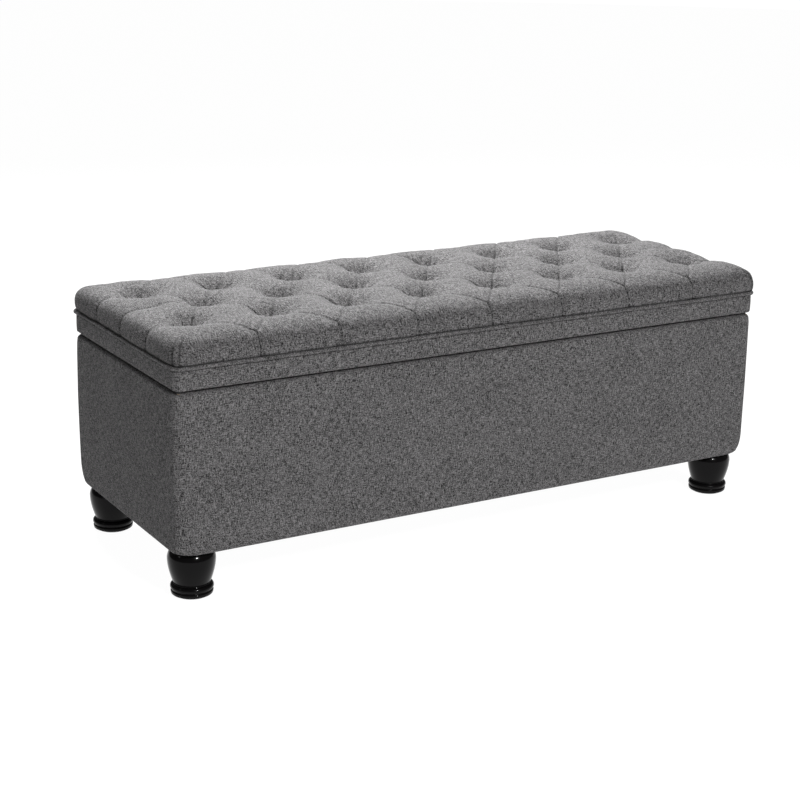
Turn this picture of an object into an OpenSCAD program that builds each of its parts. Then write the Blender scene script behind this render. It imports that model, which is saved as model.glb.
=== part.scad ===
// Upholstered storage bench: a cloth-covered case on four turned feet, with a
// deep-tufted lid on three butt hinges and a folding stay at each end.
// X runs along the length, Y from front to back, Z up from the floor.
// The origin is on the floor, under the middle of the bench.

/* [Overall] */
// Length over the piping
bench_l = 1181; // [1000:1:1260]
// Depth over the piping
bench_d = 450; // [420:1:480]
// Height from the floor to the crown of the seat
bench_h = 450; // [440:1:480]

/* [Case] */
// Height of the underside of the case above the floor
case_bottom = 82; // [76:1:90]
// Height of the top edge of the case
case_top = 355; // [345:1:358]
// Thickness of the case panels
panel_t = 15; // [12:1:18]
// Foam over the outside of the panels
padding_t = 5; // [3:0.5:8]
// Thickness of the upholstery cloth
cloth_t = 1; // [0.8:0.1:1.2]
// Radius of the upright corners
corner_r = 14; // [12:1:20]
// Height over which the upright corners round off at the bottom
corner_rise = 40; // [20:1:60]
// How much larger the corner radius is at the very bottom
corner_growth = 30; // [10:1:40]
// Thickness of the floor panel
floor_t = 9; // [6:1:12]
// Height of the battens and corner blocks under the floor panel
batten_h = 27; // [20:1:30]

/* [Lid] */
// Gap between the case and the closed lid
lid_gap = 4; // [4:0.5:5]
// Height of the rails of the lid frame
rail_h = 23; // [20:1:28]
// Thickness of the lid board
board_t = 12; // [9:1:15]
// Radius of the piping
piping_r = 3.6; // [3:0.1:4]

/* [Tufting] */
// Tufts in the front and back rows; the middle row has one less
tufts_per_row = 8; // [6:1:8]
// Distance between neighbouring tufts of a row
tuft_pitch = 146; // [130:1:146]
// Distance between rows
tuft_row_gap = 106; // [90:1:110]
// Depth of a tuft below the crown of the seat
tuft_depth = 32; // [20:1:36]
// Radius of the mouth of a tuft
tuft_mouth_r = 36; // [25:1:38]

/* [Feet] */
// Distance of a foot's axis from the end of the case
foot_inset_x = 42; // [38:1:46]
// Distance of a foot's axis from the front or back of the case
foot_inset_y = 47; // [44:1:50]
// Radius of the widest part of a foot
foot_belly_r = 40; // [34:1:42]
// Radius of the neck above the base ring
foot_neck_r = 30.5; // [28:0.5:32]
// Radius of the base ring
foot_ring_r = 36; // [33:1:38]

/* [Hinges] */
// Number of hinges
hinge_count = 3; // [2:1:3]
// Length of a hinge
hinge_l = 64; // [50:1:80]
// Radius of a hinge knuckle
knuckle_r = 2.5; // [2.4:0.1:2.6]
// Radius of a hinge pin
hinge_pin_r = 1.25; // [1.1:0.05:1.3]

/* [Lid stays] */
// How far in front of the hinge line the stay is pivoted on the case
stay_case_forward = 60; // [55:1:70]
// How far below the hinge line the stay is pivoted on the case
stay_case_down = 95; // [85:1:105]
// How far in front of the hinge line the stay is pivoted on the lid
stay_lid_forward = 170; // [150:1:185]
// How far below the hinge line the stay is pivoted on the lid
stay_lid_down = 14; // [13:1:16]
// Width of the stay arms
arm_w = 14; // [12:1:16]
// Thickness of the stay arms and brackets
arm_t = 2.5; // [2:0.1:2.6]

/* [Hidden] */
$fn = 48;
slack = 0.1;                 // radial room round screws in their holes
case_screw_l = 50;
case_screw_r = 2;
case_screw_sink = 2;          // depth of a screw's head below the panel's face
hinge_screw_l = 20;
hinge_lid_screw_l = 18;
stay_screw_l = 13;
stay_lid_screw_l = 18;
rivet_r = 3;                 // rivets of the lid stays
rivet_slack = 0.2;
corner_steps = 6;            // straight steps in each quarter of a rounded outline
piping_out = 1.4;            // centre of the piping outside the face of the case
cloth_return = 25;           // how far the cloth is turned under at the lid's edge
case_return = 30;            // how far it is turned under the case
dust_cover_lap = 3;          // how far the dust cover laps over the turned-under cloth
lining_t = 1;
dust_cover_t = 0.6;

half_l = bench_l / 2 - piping_r - piping_out;   // case and lid band, over the cloth
half_d = bench_d / 2 - piping_r - piping_out;
wood_inset = cloth_t + padding_t;
wood_l = half_l - wood_inset;                   // over the panels
wood_d = half_d - wood_inset;
inside_l = wood_l - panel_t;                    // inside the panels
inside_d = wood_d - panel_t;
wood_bottom = case_bottom + cloth_t;
wood_top = case_top - cloth_t;
floor_z = wood_bottom + batten_h;
block_w = 70;                                   // corner blocks, square in plan
batten_w = 20;
cross_batten_x = wood_l * 0.285;

lid_bottom = case_top + lid_gap;
lid_wood_z = lid_bottom + cloth_t;
board_z = lid_wood_z + rail_h;
seat_z = board_z + board_t;
piping_z = seat_z + 1;
band_top = piping_z - piping_r;
end_rail_w = 60;
long_rail_w = 40;
cross_rail_w = 30;
cross_rail_x = tuft_pitch * 1.25;

seat_shell_t = 2;
tuft_floor_r = 4;
tuft_z = bench_h - tuft_depth;
cord_r = 1.2;
anchor_r = 8;
anchor_t = 2;

foot_x = half_l - foot_inset_x;
foot_y = half_d - foot_inset_y;
glide_t = 2;
foot_top = case_bottom - dust_cover_t;
foot_base_top = 9;
foot_bead_r = 5.5;                              // half the height of the ring above the base
foot_bead_z = foot_base_top + foot_bead_r + 0.5;
foot_neck_z = foot_bead_z + foot_bead_r;
foot_belly_z = 64;
foot_shoulder_r = foot_belly_r - 5;             // radius at the top of a foot
bolt_r = 4;
bolt_bottom = 40;
nut_flange_t = 2;

hinge_y = half_d + knuckle_r;
hinge_z = case_top + lid_gap / 2;
leaf_t = 1.3;
leaf_depth = 22;
knuckle_count = 5;
knuckle_step = hinge_l / knuckle_count;
knuckle_gap = 0.3;
hinge_spread = 380;
hinge_screw_r = 1.5;
hinge_screw_y = hinge_y - 15.5;
hinge_x = [for (i = [0:hinge_count - 1]) hinge_count == 2
    ? (2 * i - 1) * hinge_spread * 0.8
    : (i - 1) * hinge_spread];
hinge_screw_x = [-24, 0, 24];

// The hinge line, the two fixed pivots and the elbow are the corners of a
// parallelogram, so each arm of a stay stays parallel to its opposite side.
case_pivot = [hinge_y - stay_case_forward, hinge_z - stay_case_down];
lid_pivot = [hinge_y - stay_lid_forward, hinge_z - stay_lid_down];
elbow = [case_pivot[0] - stay_lid_forward, case_pivot[1] - stay_lid_down];
layer_gap = 0.5;
bracket_x = inside_l - lining_t - arm_t;        // inner face of the case bracket
lower_arm_x = bracket_x - layer_gap - arm_t;
upper_arm_x = lower_arm_x - layer_gap - arm_t;
lid_tab_x = upper_arm_x - layer_gap - arm_t;
rivet_head_r = 5;
rivet_head_t = 1.4;
stay_screw_r = 1.75;
lid_flange_t = 2;
lid_flange_w = 30;
case_plate = [36, 46];                          // case bracket, along Y and Z
lid_plate_w = 44;
case_screw_z = [125, 220, 315];
ends = [-1, 1];

cloth_grey = [0.24, 0.24, 0.25];
lining_grey = [0.10, 0.10, 0.11];
board_tan = [0.72, 0.58, 0.42];
timber = [0.80, 0.66, 0.46];
foam_cream = [0.90, 0.87, 0.75];
lacquer_black = [0.02, 0.02, 0.02];
steel = [0.72, 0.72, 0.74];

// ---- outlines and envelopes ----

function corner_arc(cx, cy, r, from) =
    [for (i = [0:corner_steps]) let (a = from + 90 * i / corner_steps)
        [cx + r * cos(a), cy + r * sin(a)]];

function rounded_outline(w, d, r) = concat(
    corner_arc(w - r, d - r, r, 0), corner_arc(r - w, d - r, r, 90),
    corner_arc(r - w, r - d, r, 180), corner_arc(w - r, r - d, r, 270));

// What the upright corners gain in radius at a height above the underside
function corner_extra(h) = h > corner_rise
    ? 0
    : corner_growth * (1 - sqrt(1 - pow(1 - h / corner_rise, 2)));

// A slab with the rounded plan of the case, let in by inset all round
module plan_slab(inset, bottom, top) {
    translate([0, 0, bottom])
        linear_extrude(height = top - bottom)
            polygon(rounded_outline(half_l - inset, half_d - inset, corner_r - inset));
}

// The case's outside, let in by inset at the sides. Its corners round off towards the
// bottom, where each level is a thin slab with a larger corner radius.
module case_envelope(inset, bottom, top) {
    slab_t = 0.5;
    levels = [0, 3, 8, 16, 26, corner_rise];
    hull() {
        for (h = levels)
            translate([0, 0, bottom + h])
                linear_extrude(height = slab_t)
                    polygon(rounded_outline(half_l - inset, half_d - inset,
                                            corner_r + corner_extra(h) - inset));
        plan_slab(inset, bottom + corner_rise, top);
    }
}

// A box from one corner to the opposite one
module block(low, high) {
    translate(low) cube(high - low);
}

module in_case() {
    intersection() {
        case_envelope(wood_inset, wood_bottom, wood_top);
        children();
    }
}

module in_lid() {
    intersection() {
        plan_slab(wood_inset, lid_wood_z, seat_z);
        children();
    }
}

// ---- fasteners ----

// A countersunk screw with its head's face at the origin, pointing along -Z
module screw(length, r, room = 0) {
    translate([0, 0, -length]) cylinder(h = length + room, r = r + room);
    translate([0, 0, -r]) cylinder(h = r, r1 = r + room, r2 = 2 * r + room);
}

module at_feet() {
    for (sx = ends, sy = ends) translate([sx * foot_x, sy * foot_y, 0]) children();
}

module at_case_screws() {
    for (sx = ends, sy = ends, z = case_screw_z)
        translate([sx * (wood_l - panel_t / 2), sy * (wood_d - case_screw_sink), z])
            rotate([-90 * sy, 0, 0]) children();
}

module case_screw_holes() {
    at_case_screws() {
        screw(case_screw_l, case_screw_r, slack);
        cylinder(h = case_screw_sink + 1, r = 2 * case_screw_r + slack);
    }
}

module at_hinge_screws(z, down) {
    for (x = hinge_x, dx = hinge_screw_x)
        translate([x + dx, hinge_screw_y, z]) rotate([down ? 0 : 180, 0, 0]) children();
}

module at_stay_case_screws() {
    for (sx = ends, dy = [-12, 12], dz = [-16, 16])
        translate([sx * bracket_x, case_pivot[0] + dy, case_pivot[1] + dz])
            rotate([0, -90 * sx, 0]) children();
}

module at_stay_lid_screws() {
    for (sx = ends, dy = [-15, 15])
        translate([sx * (lid_tab_x - 14), lid_pivot[0] + dy, lid_bottom - lid_flange_t])
            rotate([180, 0, 0]) children();
}

module at_tufts() {
    for (row = [-1:1]) {
        count = row == 0 ? tufts_per_row - 1 : tufts_per_row;
        for (i = [0:count - 1])
            translate([(i - (count - 1) / 2) * tuft_pitch, row * tuft_row_gap, 0]) children();
    }
}

// ---- case ----

module long_panel(side) {
    color(board_tan)
        difference() {
            in_case()
                block([-wood_l, side < 0 ? -wood_d : inside_d, wood_bottom],
                      [wood_l, side < 0 ? -inside_d : wood_d, wood_top]);
            case_screw_holes();
            if (side > 0) at_hinge_screws(case_top + leaf_t, true)
                screw(hinge_screw_l, hinge_screw_r, slack);
        }
}

module end_panel(side) {
    color(board_tan)
        difference() {
            in_case()
                block([side < 0 ? -wood_l : inside_l, -inside_d, wood_bottom],
                      [side < 0 ? -inside_l : wood_l, inside_d, wood_top]);
            case_screw_holes();
            at_stay_case_screws() screw(stay_screw_l, stay_screw_r, slack);
        }
}

module floor_panel() {
    color(board_tan)
        block([-inside_l, -inside_d, floor_z], [inside_l, inside_d, floor_z + floor_t]);
}

module long_floor_batten(side) {
    y = side * (inside_d - batten_w / 2);
    color(timber)
        in_case()
            block([block_w - inside_l, y - batten_w / 2, wood_bottom],
                  [inside_l - block_w, y + batten_w / 2, floor_z]);
}

module end_floor_battens() {
    color(timber)
        in_case()
            for (sx = ends) let (x = sx * (inside_l - batten_w / 2))
                block([x - batten_w / 2, block_w - inside_d, wood_bottom],
                      [x + batten_w / 2, inside_d - block_w, floor_z]);
}

module cross_floor_battens() {
    color(timber)
        for (sx = ends)
            block([sx * cross_batten_x - batten_w / 2, batten_w - inside_d, wood_bottom],
                  [sx * cross_batten_x + batten_w / 2, inside_d - batten_w, floor_z]);
}

module corner_blocks() {
    color(timber)
        difference() {
            in_case()
                for (sx = ends, sy = ends)
                    translate([sx * (inside_l - block_w / 2), sy * (inside_d - block_w / 2),
                               wood_bottom + batten_h / 2])
                        cube([block_w, block_w, batten_h], center = true);
            at_feet() {
                cylinder(h = floor_z + 1, r = bolt_r + 1.5);
                translate([0, 0, floor_z - nut_flange_t - slack])
                    cylinder(h = nut_flange_t + 1, r = 10 + slack);
            }
        }
}

module case_screws() {
    color(steel) at_case_screws() screw(case_screw_l, case_screw_r);
}

module case_padding() {
    color(foam_cream)
        difference() {
            case_envelope(cloth_t, wood_bottom, wood_top);
            case_envelope(wood_inset, wood_bottom, wood_top + 1);
            block([-bench_l, -bench_d, 0], [bench_l, bench_d, wood_bottom + 3]);
        }
}

module case_cover() {
    color(cloth_grey)
        difference() {
            case_envelope(0, case_bottom, case_top);
            case_envelope(cloth_t, wood_bottom, wood_top);
            block([-inside_l, -inside_d, wood_top - 1], [inside_l, inside_d, case_top + 1]);
            case_underside_opening();
            at_hinge_screws(case_top + leaf_t, true) screw(hinge_screw_l, hinge_screw_r, slack);
        }
}

// The opening that the turned-under cloth leaves below the case
module case_underside_opening() {
    block([case_return - half_l, case_return - half_d, case_bottom - 1],
          [half_l - case_return, half_d - case_return, wood_bottom + 1]);
}

module case_lining() {
    color(lining_grey)
        difference() {
            block([-inside_l, -inside_d, floor_z + floor_t], [inside_l, inside_d, wood_top]);
            block([lining_t - inside_l, lining_t - inside_d, floor_z + floor_t + lining_t],
                  [inside_l - lining_t, inside_d - lining_t, case_top]);
            at_stay_case_screws() screw(stay_screw_l, stay_screw_r, slack);
        }
}

module dust_cover() {
    w = half_l - case_return + dust_cover_lap;
    d = half_d - case_return + dust_cover_lap;
    color(lining_grey)
        difference() {
            block([-w, -d, foot_top], [w, d, case_bottom]);
            at_feet() cylinder(h = case_bottom + 1, r = bolt_r + slack);
        }
}

// ---- feet ----

// The foot swells from its neck to its belly and closes in again at the top
function foot_body_r(z) = z < foot_belly_z
    ? foot_neck_r + (foot_belly_r - foot_neck_r)
        * sin(90 * (z - foot_neck_z) / (foot_belly_z - foot_neck_z))
    : foot_belly_r - (foot_belly_r - foot_shoulder_r)
        * pow((z - foot_belly_z) / (foot_top - foot_belly_z), 2);

module foot(sx, sy) {
    steps = 18;
    base = [[0, glide_t], [foot_ring_r - 4, glide_t], [foot_ring_r - 1.5, glide_t + 2.5],
            [foot_ring_r - 0.8, foot_base_top - 2], [foot_ring_r - 2, foot_base_top]];
    bead = [for (i = [0:8]) let (a = -60 + 140 * i / 8)
        [foot_ring_r - foot_bead_r + foot_bead_r * cos(a), foot_bead_z + foot_bead_r * sin(a)]];
    body = [for (i = [0:steps]) let (z = foot_neck_z + (foot_top - foot_neck_z) * i / steps)
        [foot_body_r(z), z]];
    color(lacquer_black)
        translate([sx * foot_x, sy * foot_y, 0])
            difference() {
                rotate_extrude($fn = 96)
                    polygon(concat(base, bead, body, [[0, foot_top]]));
                translate([0, 0, bolt_bottom]) cylinder(h = foot_top, r = bolt_r + slack / 2);
            }
}

module foot_bolts() {
    color(steel)
        at_feet() translate([0, 0, bolt_bottom])
            cylinder(h = floor_z - 1 - bolt_bottom, r = bolt_r);
}

module foot_tee_nuts() {
    barrel = 14;
    color(steel)
        at_feet() difference() {
            union() {
                translate([0, 0, floor_z - nut_flange_t]) cylinder(h = nut_flange_t, r = 10);
                translate([0, 0, floor_z - barrel]) cylinder(h = barrel, r = bolt_r + 1.4);
            }
            cylinder(h = floor_z + 1, r = bolt_r + slack / 2);
        }
}

module foot_glides() {
    color("dimgray") at_feet() cylinder(h = glide_t, r = foot_ring_r - 7);
}

// ---- parts between the case and the lid ----

module lid_bumpers() {
    color("dimgray")
        for (sx = ends, y = [-wood_d + panel_t / 2, wood_d - 60])
            translate([sx * (wood_l - panel_t / 2), y, case_top])
                cylinder(h = lid_gap - 0.2, r = 6);
}

// Knuckles number 0, 2 and 4 belong to the case leaf, 1 and 3 to the lid leaf
module knuckles(first, grow, bore) {
    for (x = hinge_x, i = [first:2:knuckle_count - 1])
        translate([x - hinge_l / 2 + i * knuckle_step + (knuckle_gap - grow) / 2, hinge_y, hinge_z])
            rotate([0, 90, 0])
                cylinder(h = knuckle_step - knuckle_gap + grow, r = bore);
}

module hinge_leaves(first, low, high) {
    other = 1 - first;
    difference() {
        union() {
            for (x = hinge_x)
                block([x - hinge_l / 2 + knuckle_gap / 2, hinge_y - leaf_depth, low],
                      [x + hinge_l / 2 - knuckle_gap / 2, hinge_y, high]);
            knuckles(first, 0, knuckle_r);
        }
        knuckles(other, 2 * knuckle_gap, knuckle_r + 0.3);
        for (x = hinge_x)
            translate([x, hinge_y, hinge_z]) rotate([0, 90, 0])
                cylinder(h = hinge_l + 2, r = hinge_pin_r + 0.05, center = true);
    }
}

module hinge_case_leaves() {
    color(steel)
        difference() {
            hinge_leaves(0, case_top, case_top + leaf_t);
            at_hinge_screws(case_top + leaf_t, true) screw(hinge_screw_l, hinge_screw_r, 0.05);
        }
}

module hinge_lid_leaves() {
    color(steel)
        difference() {
            hinge_leaves(1, lid_bottom - leaf_t, lid_bottom);
            at_hinge_screws(lid_bottom - leaf_t, false)
                screw(hinge_lid_screw_l, hinge_screw_r, 0.05);
        }
}

module hinge_pins() {
    color(steel)
        for (x = hinge_x)
            translate([x, hinge_y, hinge_z]) rotate([0, 90, 0])
                cylinder(h = hinge_l, r = hinge_pin_r, center = true);
}

// ---- lid stays ----

// A flat arm between two pivots, in the plane x to x + arm_t
module arm(x, from, to, bore) {
    run = to - from;
    span = norm(run);
    translate([x, from[0], from[1]])
        rotate([atan2(run[1], run[0]), 0, 0])
            difference() {
                union() {
                    block([0, 0, -arm_w / 2], [arm_t, span, arm_w / 2]);
                    for (y = [0, span]) translate([0, y, 0]) rotate([0, 90, 0])
                        cylinder(h = arm_t, r = arm_w / 2);
                }
                for (y = [0, span]) translate([-1, y, 0]) rotate([0, 90, 0])
                    cylinder(h = arm_t + 2, r = bore);
            }
}

// A rivet along X from x0 to x1 at a pivot, with a head at the inner end
module rivet(pivot, x0, x1, outer_head = false) {
    translate([x0, pivot[0], pivot[1]]) rotate([0, 90, 0]) {
        cylinder(h = x1 - x0, r = rivet_r);
        translate([0, 0, -rivet_head_t]) cylinder(h = rivet_head_t, r = rivet_head_r);
        if (outer_head) translate([0, 0, x1 - x0]) cylinder(h = rivet_head_t, r = rivet_head_r);
    }
}

// Draws its children at the right end, or mirrored at the left one
module at_end(side) {
    if (side > 0) children();
    else mirror([1, 0, 0]) children();
}

module stay_lower_arm(side) {
    color(steel)
        at_end(side) arm(lower_arm_x, case_pivot, elbow, rivet_r + rivet_slack);
}

module stay_upper_arm(side) {
    color(steel)
        at_end(side) arm(upper_arm_x, elbow, lid_pivot, rivet_r + rivet_slack);
}

module stay_elbow_rivet(side) {
    color(steel)
        at_end(side)
            rivet(elbow, upper_arm_x - 0.1, lower_arm_x + arm_t + 0.1, outer_head = true);
}

module stay_case_bracket(side) {
    color(steel)
        difference() {
            at_end(side)
                difference() {
                    block([bracket_x, case_pivot[0] - case_plate[0] / 2,
                           case_pivot[1] - case_plate[1] / 2],
                          [bracket_x + arm_t, case_pivot[0] + case_plate[0] / 2,
                           case_pivot[1] + case_plate[1] / 2]);
                    translate([bracket_x - 1, case_pivot[0], case_pivot[1]])
                        rotate([0, 90, 0]) cylinder(h = arm_t + 2, r = rivet_r);
                }
            at_stay_case_screws() screw(stay_screw_l, stay_screw_r, 0.05);
        }
}

module stay_case_rivets() {
    color(steel)
        for (side = ends) at_end(side)
            rivet(case_pivot, lower_arm_x - 0.2, bracket_x + arm_t);
}

module stay_lid_bracket(side) {
    tab_bottom = lid_pivot[1] - 9;
    color(steel)
        difference() {
            at_end(side)
                difference() {
                    union() {
                        block([lid_tab_x + arm_t - lid_flange_w, lid_pivot[0] - lid_plate_w / 2,
                               lid_bottom - lid_flange_t],
                              [lid_tab_x + arm_t, lid_pivot[0] + lid_plate_w / 2, lid_bottom]);
                        block([lid_tab_x, lid_pivot[0] - 10, tab_bottom],
                              [lid_tab_x + arm_t, lid_pivot[0] + 10, lid_bottom]);
                    }
                    translate([lid_tab_x - 1, lid_pivot[0], lid_pivot[1]])
                        rotate([0, 90, 0]) cylinder(h = arm_t + 2, r = rivet_r);
                }
            at_stay_lid_screws() screw(stay_lid_screw_l, stay_screw_r, 0.05);
        }
}

module stay_lid_rivets() {
    color(steel)
        for (side = ends) at_end(side)
            translate([lid_tab_x, lid_pivot[0], lid_pivot[1]]) rotate([0, 90, 0]) {
                cylinder(h = upper_arm_x + arm_t + 0.2 - lid_tab_x, r = rivet_r);
                translate([0, 0, upper_arm_x + arm_t + 0.2 - lid_tab_x])
                    cylinder(h = rivet_head_t, r = rivet_head_r);
            }
}

// ---- lid ----

module lid_board() {
    color(board_tan)
        difference() {
            plan_slab(wood_inset, board_z, seat_z);
            at_tufts() translate([0, 0, board_z - 1]) cylinder(h = board_t + 2, r = 3);
        }
}

module long_lid_rail(side) {
    y = side * (wood_d - long_rail_w / 2);
    color(timber)
        difference() {
            in_lid()
                block([-wood_l, y - long_rail_w / 2, lid_wood_z],
                      [wood_l, y + long_rail_w / 2, board_z]);
            if (side > 0) at_hinge_screws(lid_bottom - leaf_t, false)
                screw(hinge_lid_screw_l, hinge_screw_r, slack);
        }
}

module end_lid_rail(side) {
    x = side * (wood_l - end_rail_w / 2);
    d = wood_d - long_rail_w;
    color(timber)
        difference() {
            block([x - end_rail_w / 2, -d, lid_wood_z], [x + end_rail_w / 2, d, board_z]);
            at_stay_lid_screws() screw(stay_lid_screw_l, stay_screw_r, slack);
        }
}

module lid_cross_rails() {
    d = wood_d - long_rail_w;
    color(timber)
        for (sx = ends)
            block([sx * cross_rail_x - cross_rail_w / 2, -d, lid_wood_z],
                  [sx * cross_rail_x + cross_rail_w / 2, d, board_z]);
}

module lid_band_padding() {
    color(foam_cream)
        difference() {
            plan_slab(cloth_t, lid_wood_z, band_top - cloth_t);
            plan_slab(wood_inset, lid_bottom, band_top);
        }
}

module lid_band_cover() {
    color(cloth_grey)
        difference() {
            plan_slab(0, lid_bottom, band_top);
            plan_slab(cloth_t, lid_wood_z, band_top - cloth_t);
            plan_slab(wood_inset, lid_wood_z + 1, band_top + 1);
            lid_underside_opening();
            at_hinge_screws(lid_bottom - leaf_t, false)
                screw(hinge_lid_screw_l, hinge_screw_r, slack);
        }
}

// The opening that the turned-under cloth of the band leaves
module lid_underside_opening() {
    block([cloth_return - half_l, cloth_return - half_d, lid_bottom - 1],
          [half_l - cloth_return, half_d - cloth_return, lid_wood_z + 1]);
}

module lid_lining() {
    color(lining_grey)
        difference() {
            block([cloth_return - half_l, cloth_return - half_d, lid_bottom],
                  [half_l - cloth_return, half_d - cloth_return, lid_wood_z]);
            at_stay_lid_screws() screw(stay_lid_screw_l, stay_screw_r, slack);
        }
}

module piping() {
    w = half_l + piping_out;
    d = half_d + piping_out;
    r = corner_r + piping_out;
    color(cloth_grey)
        translate([0, 0, piping_z]) {
            for (sy = ends) translate([r - w, sy * d, 0]) rotate([0, 90, 0])
                cylinder(h = 2 * (w - r), r = piping_r);
            for (sx = ends) translate([sx * w, r - d, 0]) rotate([-90, 0, 0])
                cylinder(h = 2 * (d - r), r = piping_r);
            for (i = [0:3]) let (sx = (i == 0 || i == 3) ? 1 : -1, sy = i < 2 ? 1 : -1)
                translate([sx * (w - r), sy * (d - r), 0])
                    rotate([0, 0, 90 * i])
                        rotate_extrude(angle = 90) translate([r, 0]) circle(r = piping_r);
        }
}

// The seat, let in by inset: its foot sits inside the piping, and its sides bulge over it
module seat_block(inset, bottom) {
    levels = [[seat_z, 4, 12], [piping_z + 16, -2, 20], [bench_h - 14, 4, 26], [bench_h, 24, 40]];
    hull()
        for (level = levels) {
            z = max(bottom, level[0] - inset);
            w = half_l - level[1] - inset;
            d = half_d - level[1] - inset;
            translate([0, 0, z - (level[0] == seat_z ? 0 : 0.5)])
                linear_extrude(height = 0.5)
                    polygon(rounded_outline(w, d, level[2] - inset));
        }
}

// The pockets of the tufts, grown by a cloth's thickness for the foam below it
module tuft_pockets(grow) {
    at_tufts()
        translate([0, 0, tuft_z - grow])
            cylinder(h = tuft_depth, r1 = tuft_floor_r + grow, r2 = tuft_mouth_r + grow);
}

module seat_cover() {
    color(cloth_grey)
        difference() {
            seat_block(0, seat_z);
            tuft_pockets(0);
            difference() {
                seat_block(seat_shell_t, seat_z - 1);
                tuft_pockets(seat_shell_t);
            }
        }
}

module seat_foam() {
    color(foam_cream)
        difference() {
            intersection() {
                seat_block(seat_shell_t, seat_z - 1);
                block([-bench_l, -bench_d, seat_z], [bench_l, bench_d, bench_h]);
            }
            tuft_pockets(seat_shell_t);
            at_tufts() translate([0, 0, seat_z - 1]) cylinder(h = bench_h - seat_z, r = cord_r + 1);
        }
}

module tuft_cords() {
    knot_r = 2.4;
    knot_z = board_z - anchor_t - knot_r;
    color("ivory")
        at_tufts() {
            translate([0, 0, knot_z]) cylinder(h = tuft_z - seat_shell_t - knot_z, r = cord_r);
            translate([0, 0, knot_z]) sphere(r = knot_r);
        }
}

module tuft_anchors() {
    color("dimgray")
        at_tufts()
            translate([0, 0, board_z - anchor_t])
                difference() {
                    cylinder(h = anchor_t, r = anchor_r);
                    translate([0, 0, -1]) cylinder(h = anchor_t + 2, r = cord_r + 0.3);
                }
}

// ---- nodes ----

long_panel(-1);  // front_panel
long_panel(1);  // back_panel
end_panel(-1);  // left_end_panel
end_panel(1);  // right_end_panel
floor_panel();
long_floor_batten(-1);  // front_floor_batten
long_floor_batten(1);  // back_floor_batten
end_floor_battens();
cross_floor_battens();
corner_blocks();
case_screws();
case_padding();
case_cover();
case_lining();
dust_cover();
foot(-1, -1);  // front_left_foot
foot(1, -1);  // front_right_foot
foot(-1, 1);  // back_left_foot
foot(1, 1);  // back_right_foot
foot_bolts();
foot_tee_nuts();
foot_glides();
lid_bumpers();
hinge_case_leaves();
hinge_pins();
color(steel) at_hinge_screws(case_top + leaf_t, true) screw(hinge_screw_l, hinge_screw_r);  // hinge_case_screws
stay_case_bracket(-1);  // left_stay_case_bracket
stay_case_bracket(1);  // right_stay_case_bracket
stay_case_rivets();
color(steel) at_stay_case_screws() screw(stay_screw_l, stay_screw_r);  // stay_case_screws
lid_board();
long_lid_rail(-1);  // front_lid_rail
long_lid_rail(1);  // back_lid_rail
end_lid_rail(-1);  // left_lid_rail
end_lid_rail(1);  // right_lid_rail
lid_cross_rails();
lid_band_padding();
lid_band_cover();
lid_lining();
piping();
seat_foam();
seat_cover();
tuft_cords();
tuft_anchors();
hinge_lid_leaves();
color(steel) at_hinge_screws(lid_bottom - leaf_t, false)  // hinge_lid_screws
        screw(hinge_lid_screw_l, hinge_screw_r);
stay_lid_bracket(-1);  // left_stay_lid_bracket
stay_lid_bracket(1);  // right_stay_lid_bracket
stay_lid_rivets();
color(steel) at_stay_lid_screws() screw(stay_lid_screw_l, stay_screw_r);  // stay_lid_screws
stay_lower_arm(-1);  // left_stay_lower_arm
stay_lower_arm(1);  // right_stay_lower_arm
stay_elbow_rivet(-1);  // left_stay_elbow_rivet
stay_elbow_rivet(1);  // right_stay_elbow_rivet
stay_upper_arm(-1);  // left_stay_upper_arm
stay_upper_arm(1);  // right_stay_upper_arm
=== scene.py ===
"""Storage bench: its tufted lid, covered case, turned feet and fittings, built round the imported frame."""

import math

import bpy
import numpy as np
from bpy.props import FloatProperty, FloatVectorProperty, IntProperty, PointerProperty
from mathutils import Matrix, Vector


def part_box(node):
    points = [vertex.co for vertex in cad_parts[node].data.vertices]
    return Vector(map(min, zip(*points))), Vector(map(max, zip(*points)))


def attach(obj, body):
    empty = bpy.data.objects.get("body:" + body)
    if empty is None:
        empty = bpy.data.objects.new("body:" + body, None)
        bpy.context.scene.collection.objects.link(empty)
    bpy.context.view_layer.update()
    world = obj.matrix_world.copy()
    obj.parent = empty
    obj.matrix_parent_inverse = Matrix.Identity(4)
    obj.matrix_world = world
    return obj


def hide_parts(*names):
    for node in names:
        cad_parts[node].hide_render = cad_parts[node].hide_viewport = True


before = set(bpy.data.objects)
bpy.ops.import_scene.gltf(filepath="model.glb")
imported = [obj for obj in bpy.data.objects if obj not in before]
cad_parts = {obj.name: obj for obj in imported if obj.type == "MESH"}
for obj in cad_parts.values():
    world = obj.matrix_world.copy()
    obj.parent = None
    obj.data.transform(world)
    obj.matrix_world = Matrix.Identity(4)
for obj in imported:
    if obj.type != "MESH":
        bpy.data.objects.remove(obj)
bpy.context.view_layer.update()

bl_info = {
    "name": "Storage Bench",
    "version": (1, 0, 0),
    "blender": (4, 5, 0),
    "location": "3D View > Sidebar > Bench",
    "description": "Upholsters and finishes a storage bench with a deep-tufted lid",
    "category": "Object",
}


# ---- sizes, in metres, from the frame ----

def extent(node):
    """The lowest and highest corner of a CAD node, as arrays."""
    low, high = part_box(node)
    return np.array(low), np.array(high)


case_low, case_high = extent("case_cover")
band_low, band_high = extent("lid_band_cover")
seat_low, seat_high = extent("seat_cover")
piping_low, piping_high = extent("piping")
board_low, board_high = extent("lid_board")
lining_low, lining_high = extent("case_lining")
lid_lining_low, lid_lining_high = extent("lid_lining")
dust_low, dust_high = extent("dust_cover")
foot_low, foot_high = extent("front_left_foot")

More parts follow.
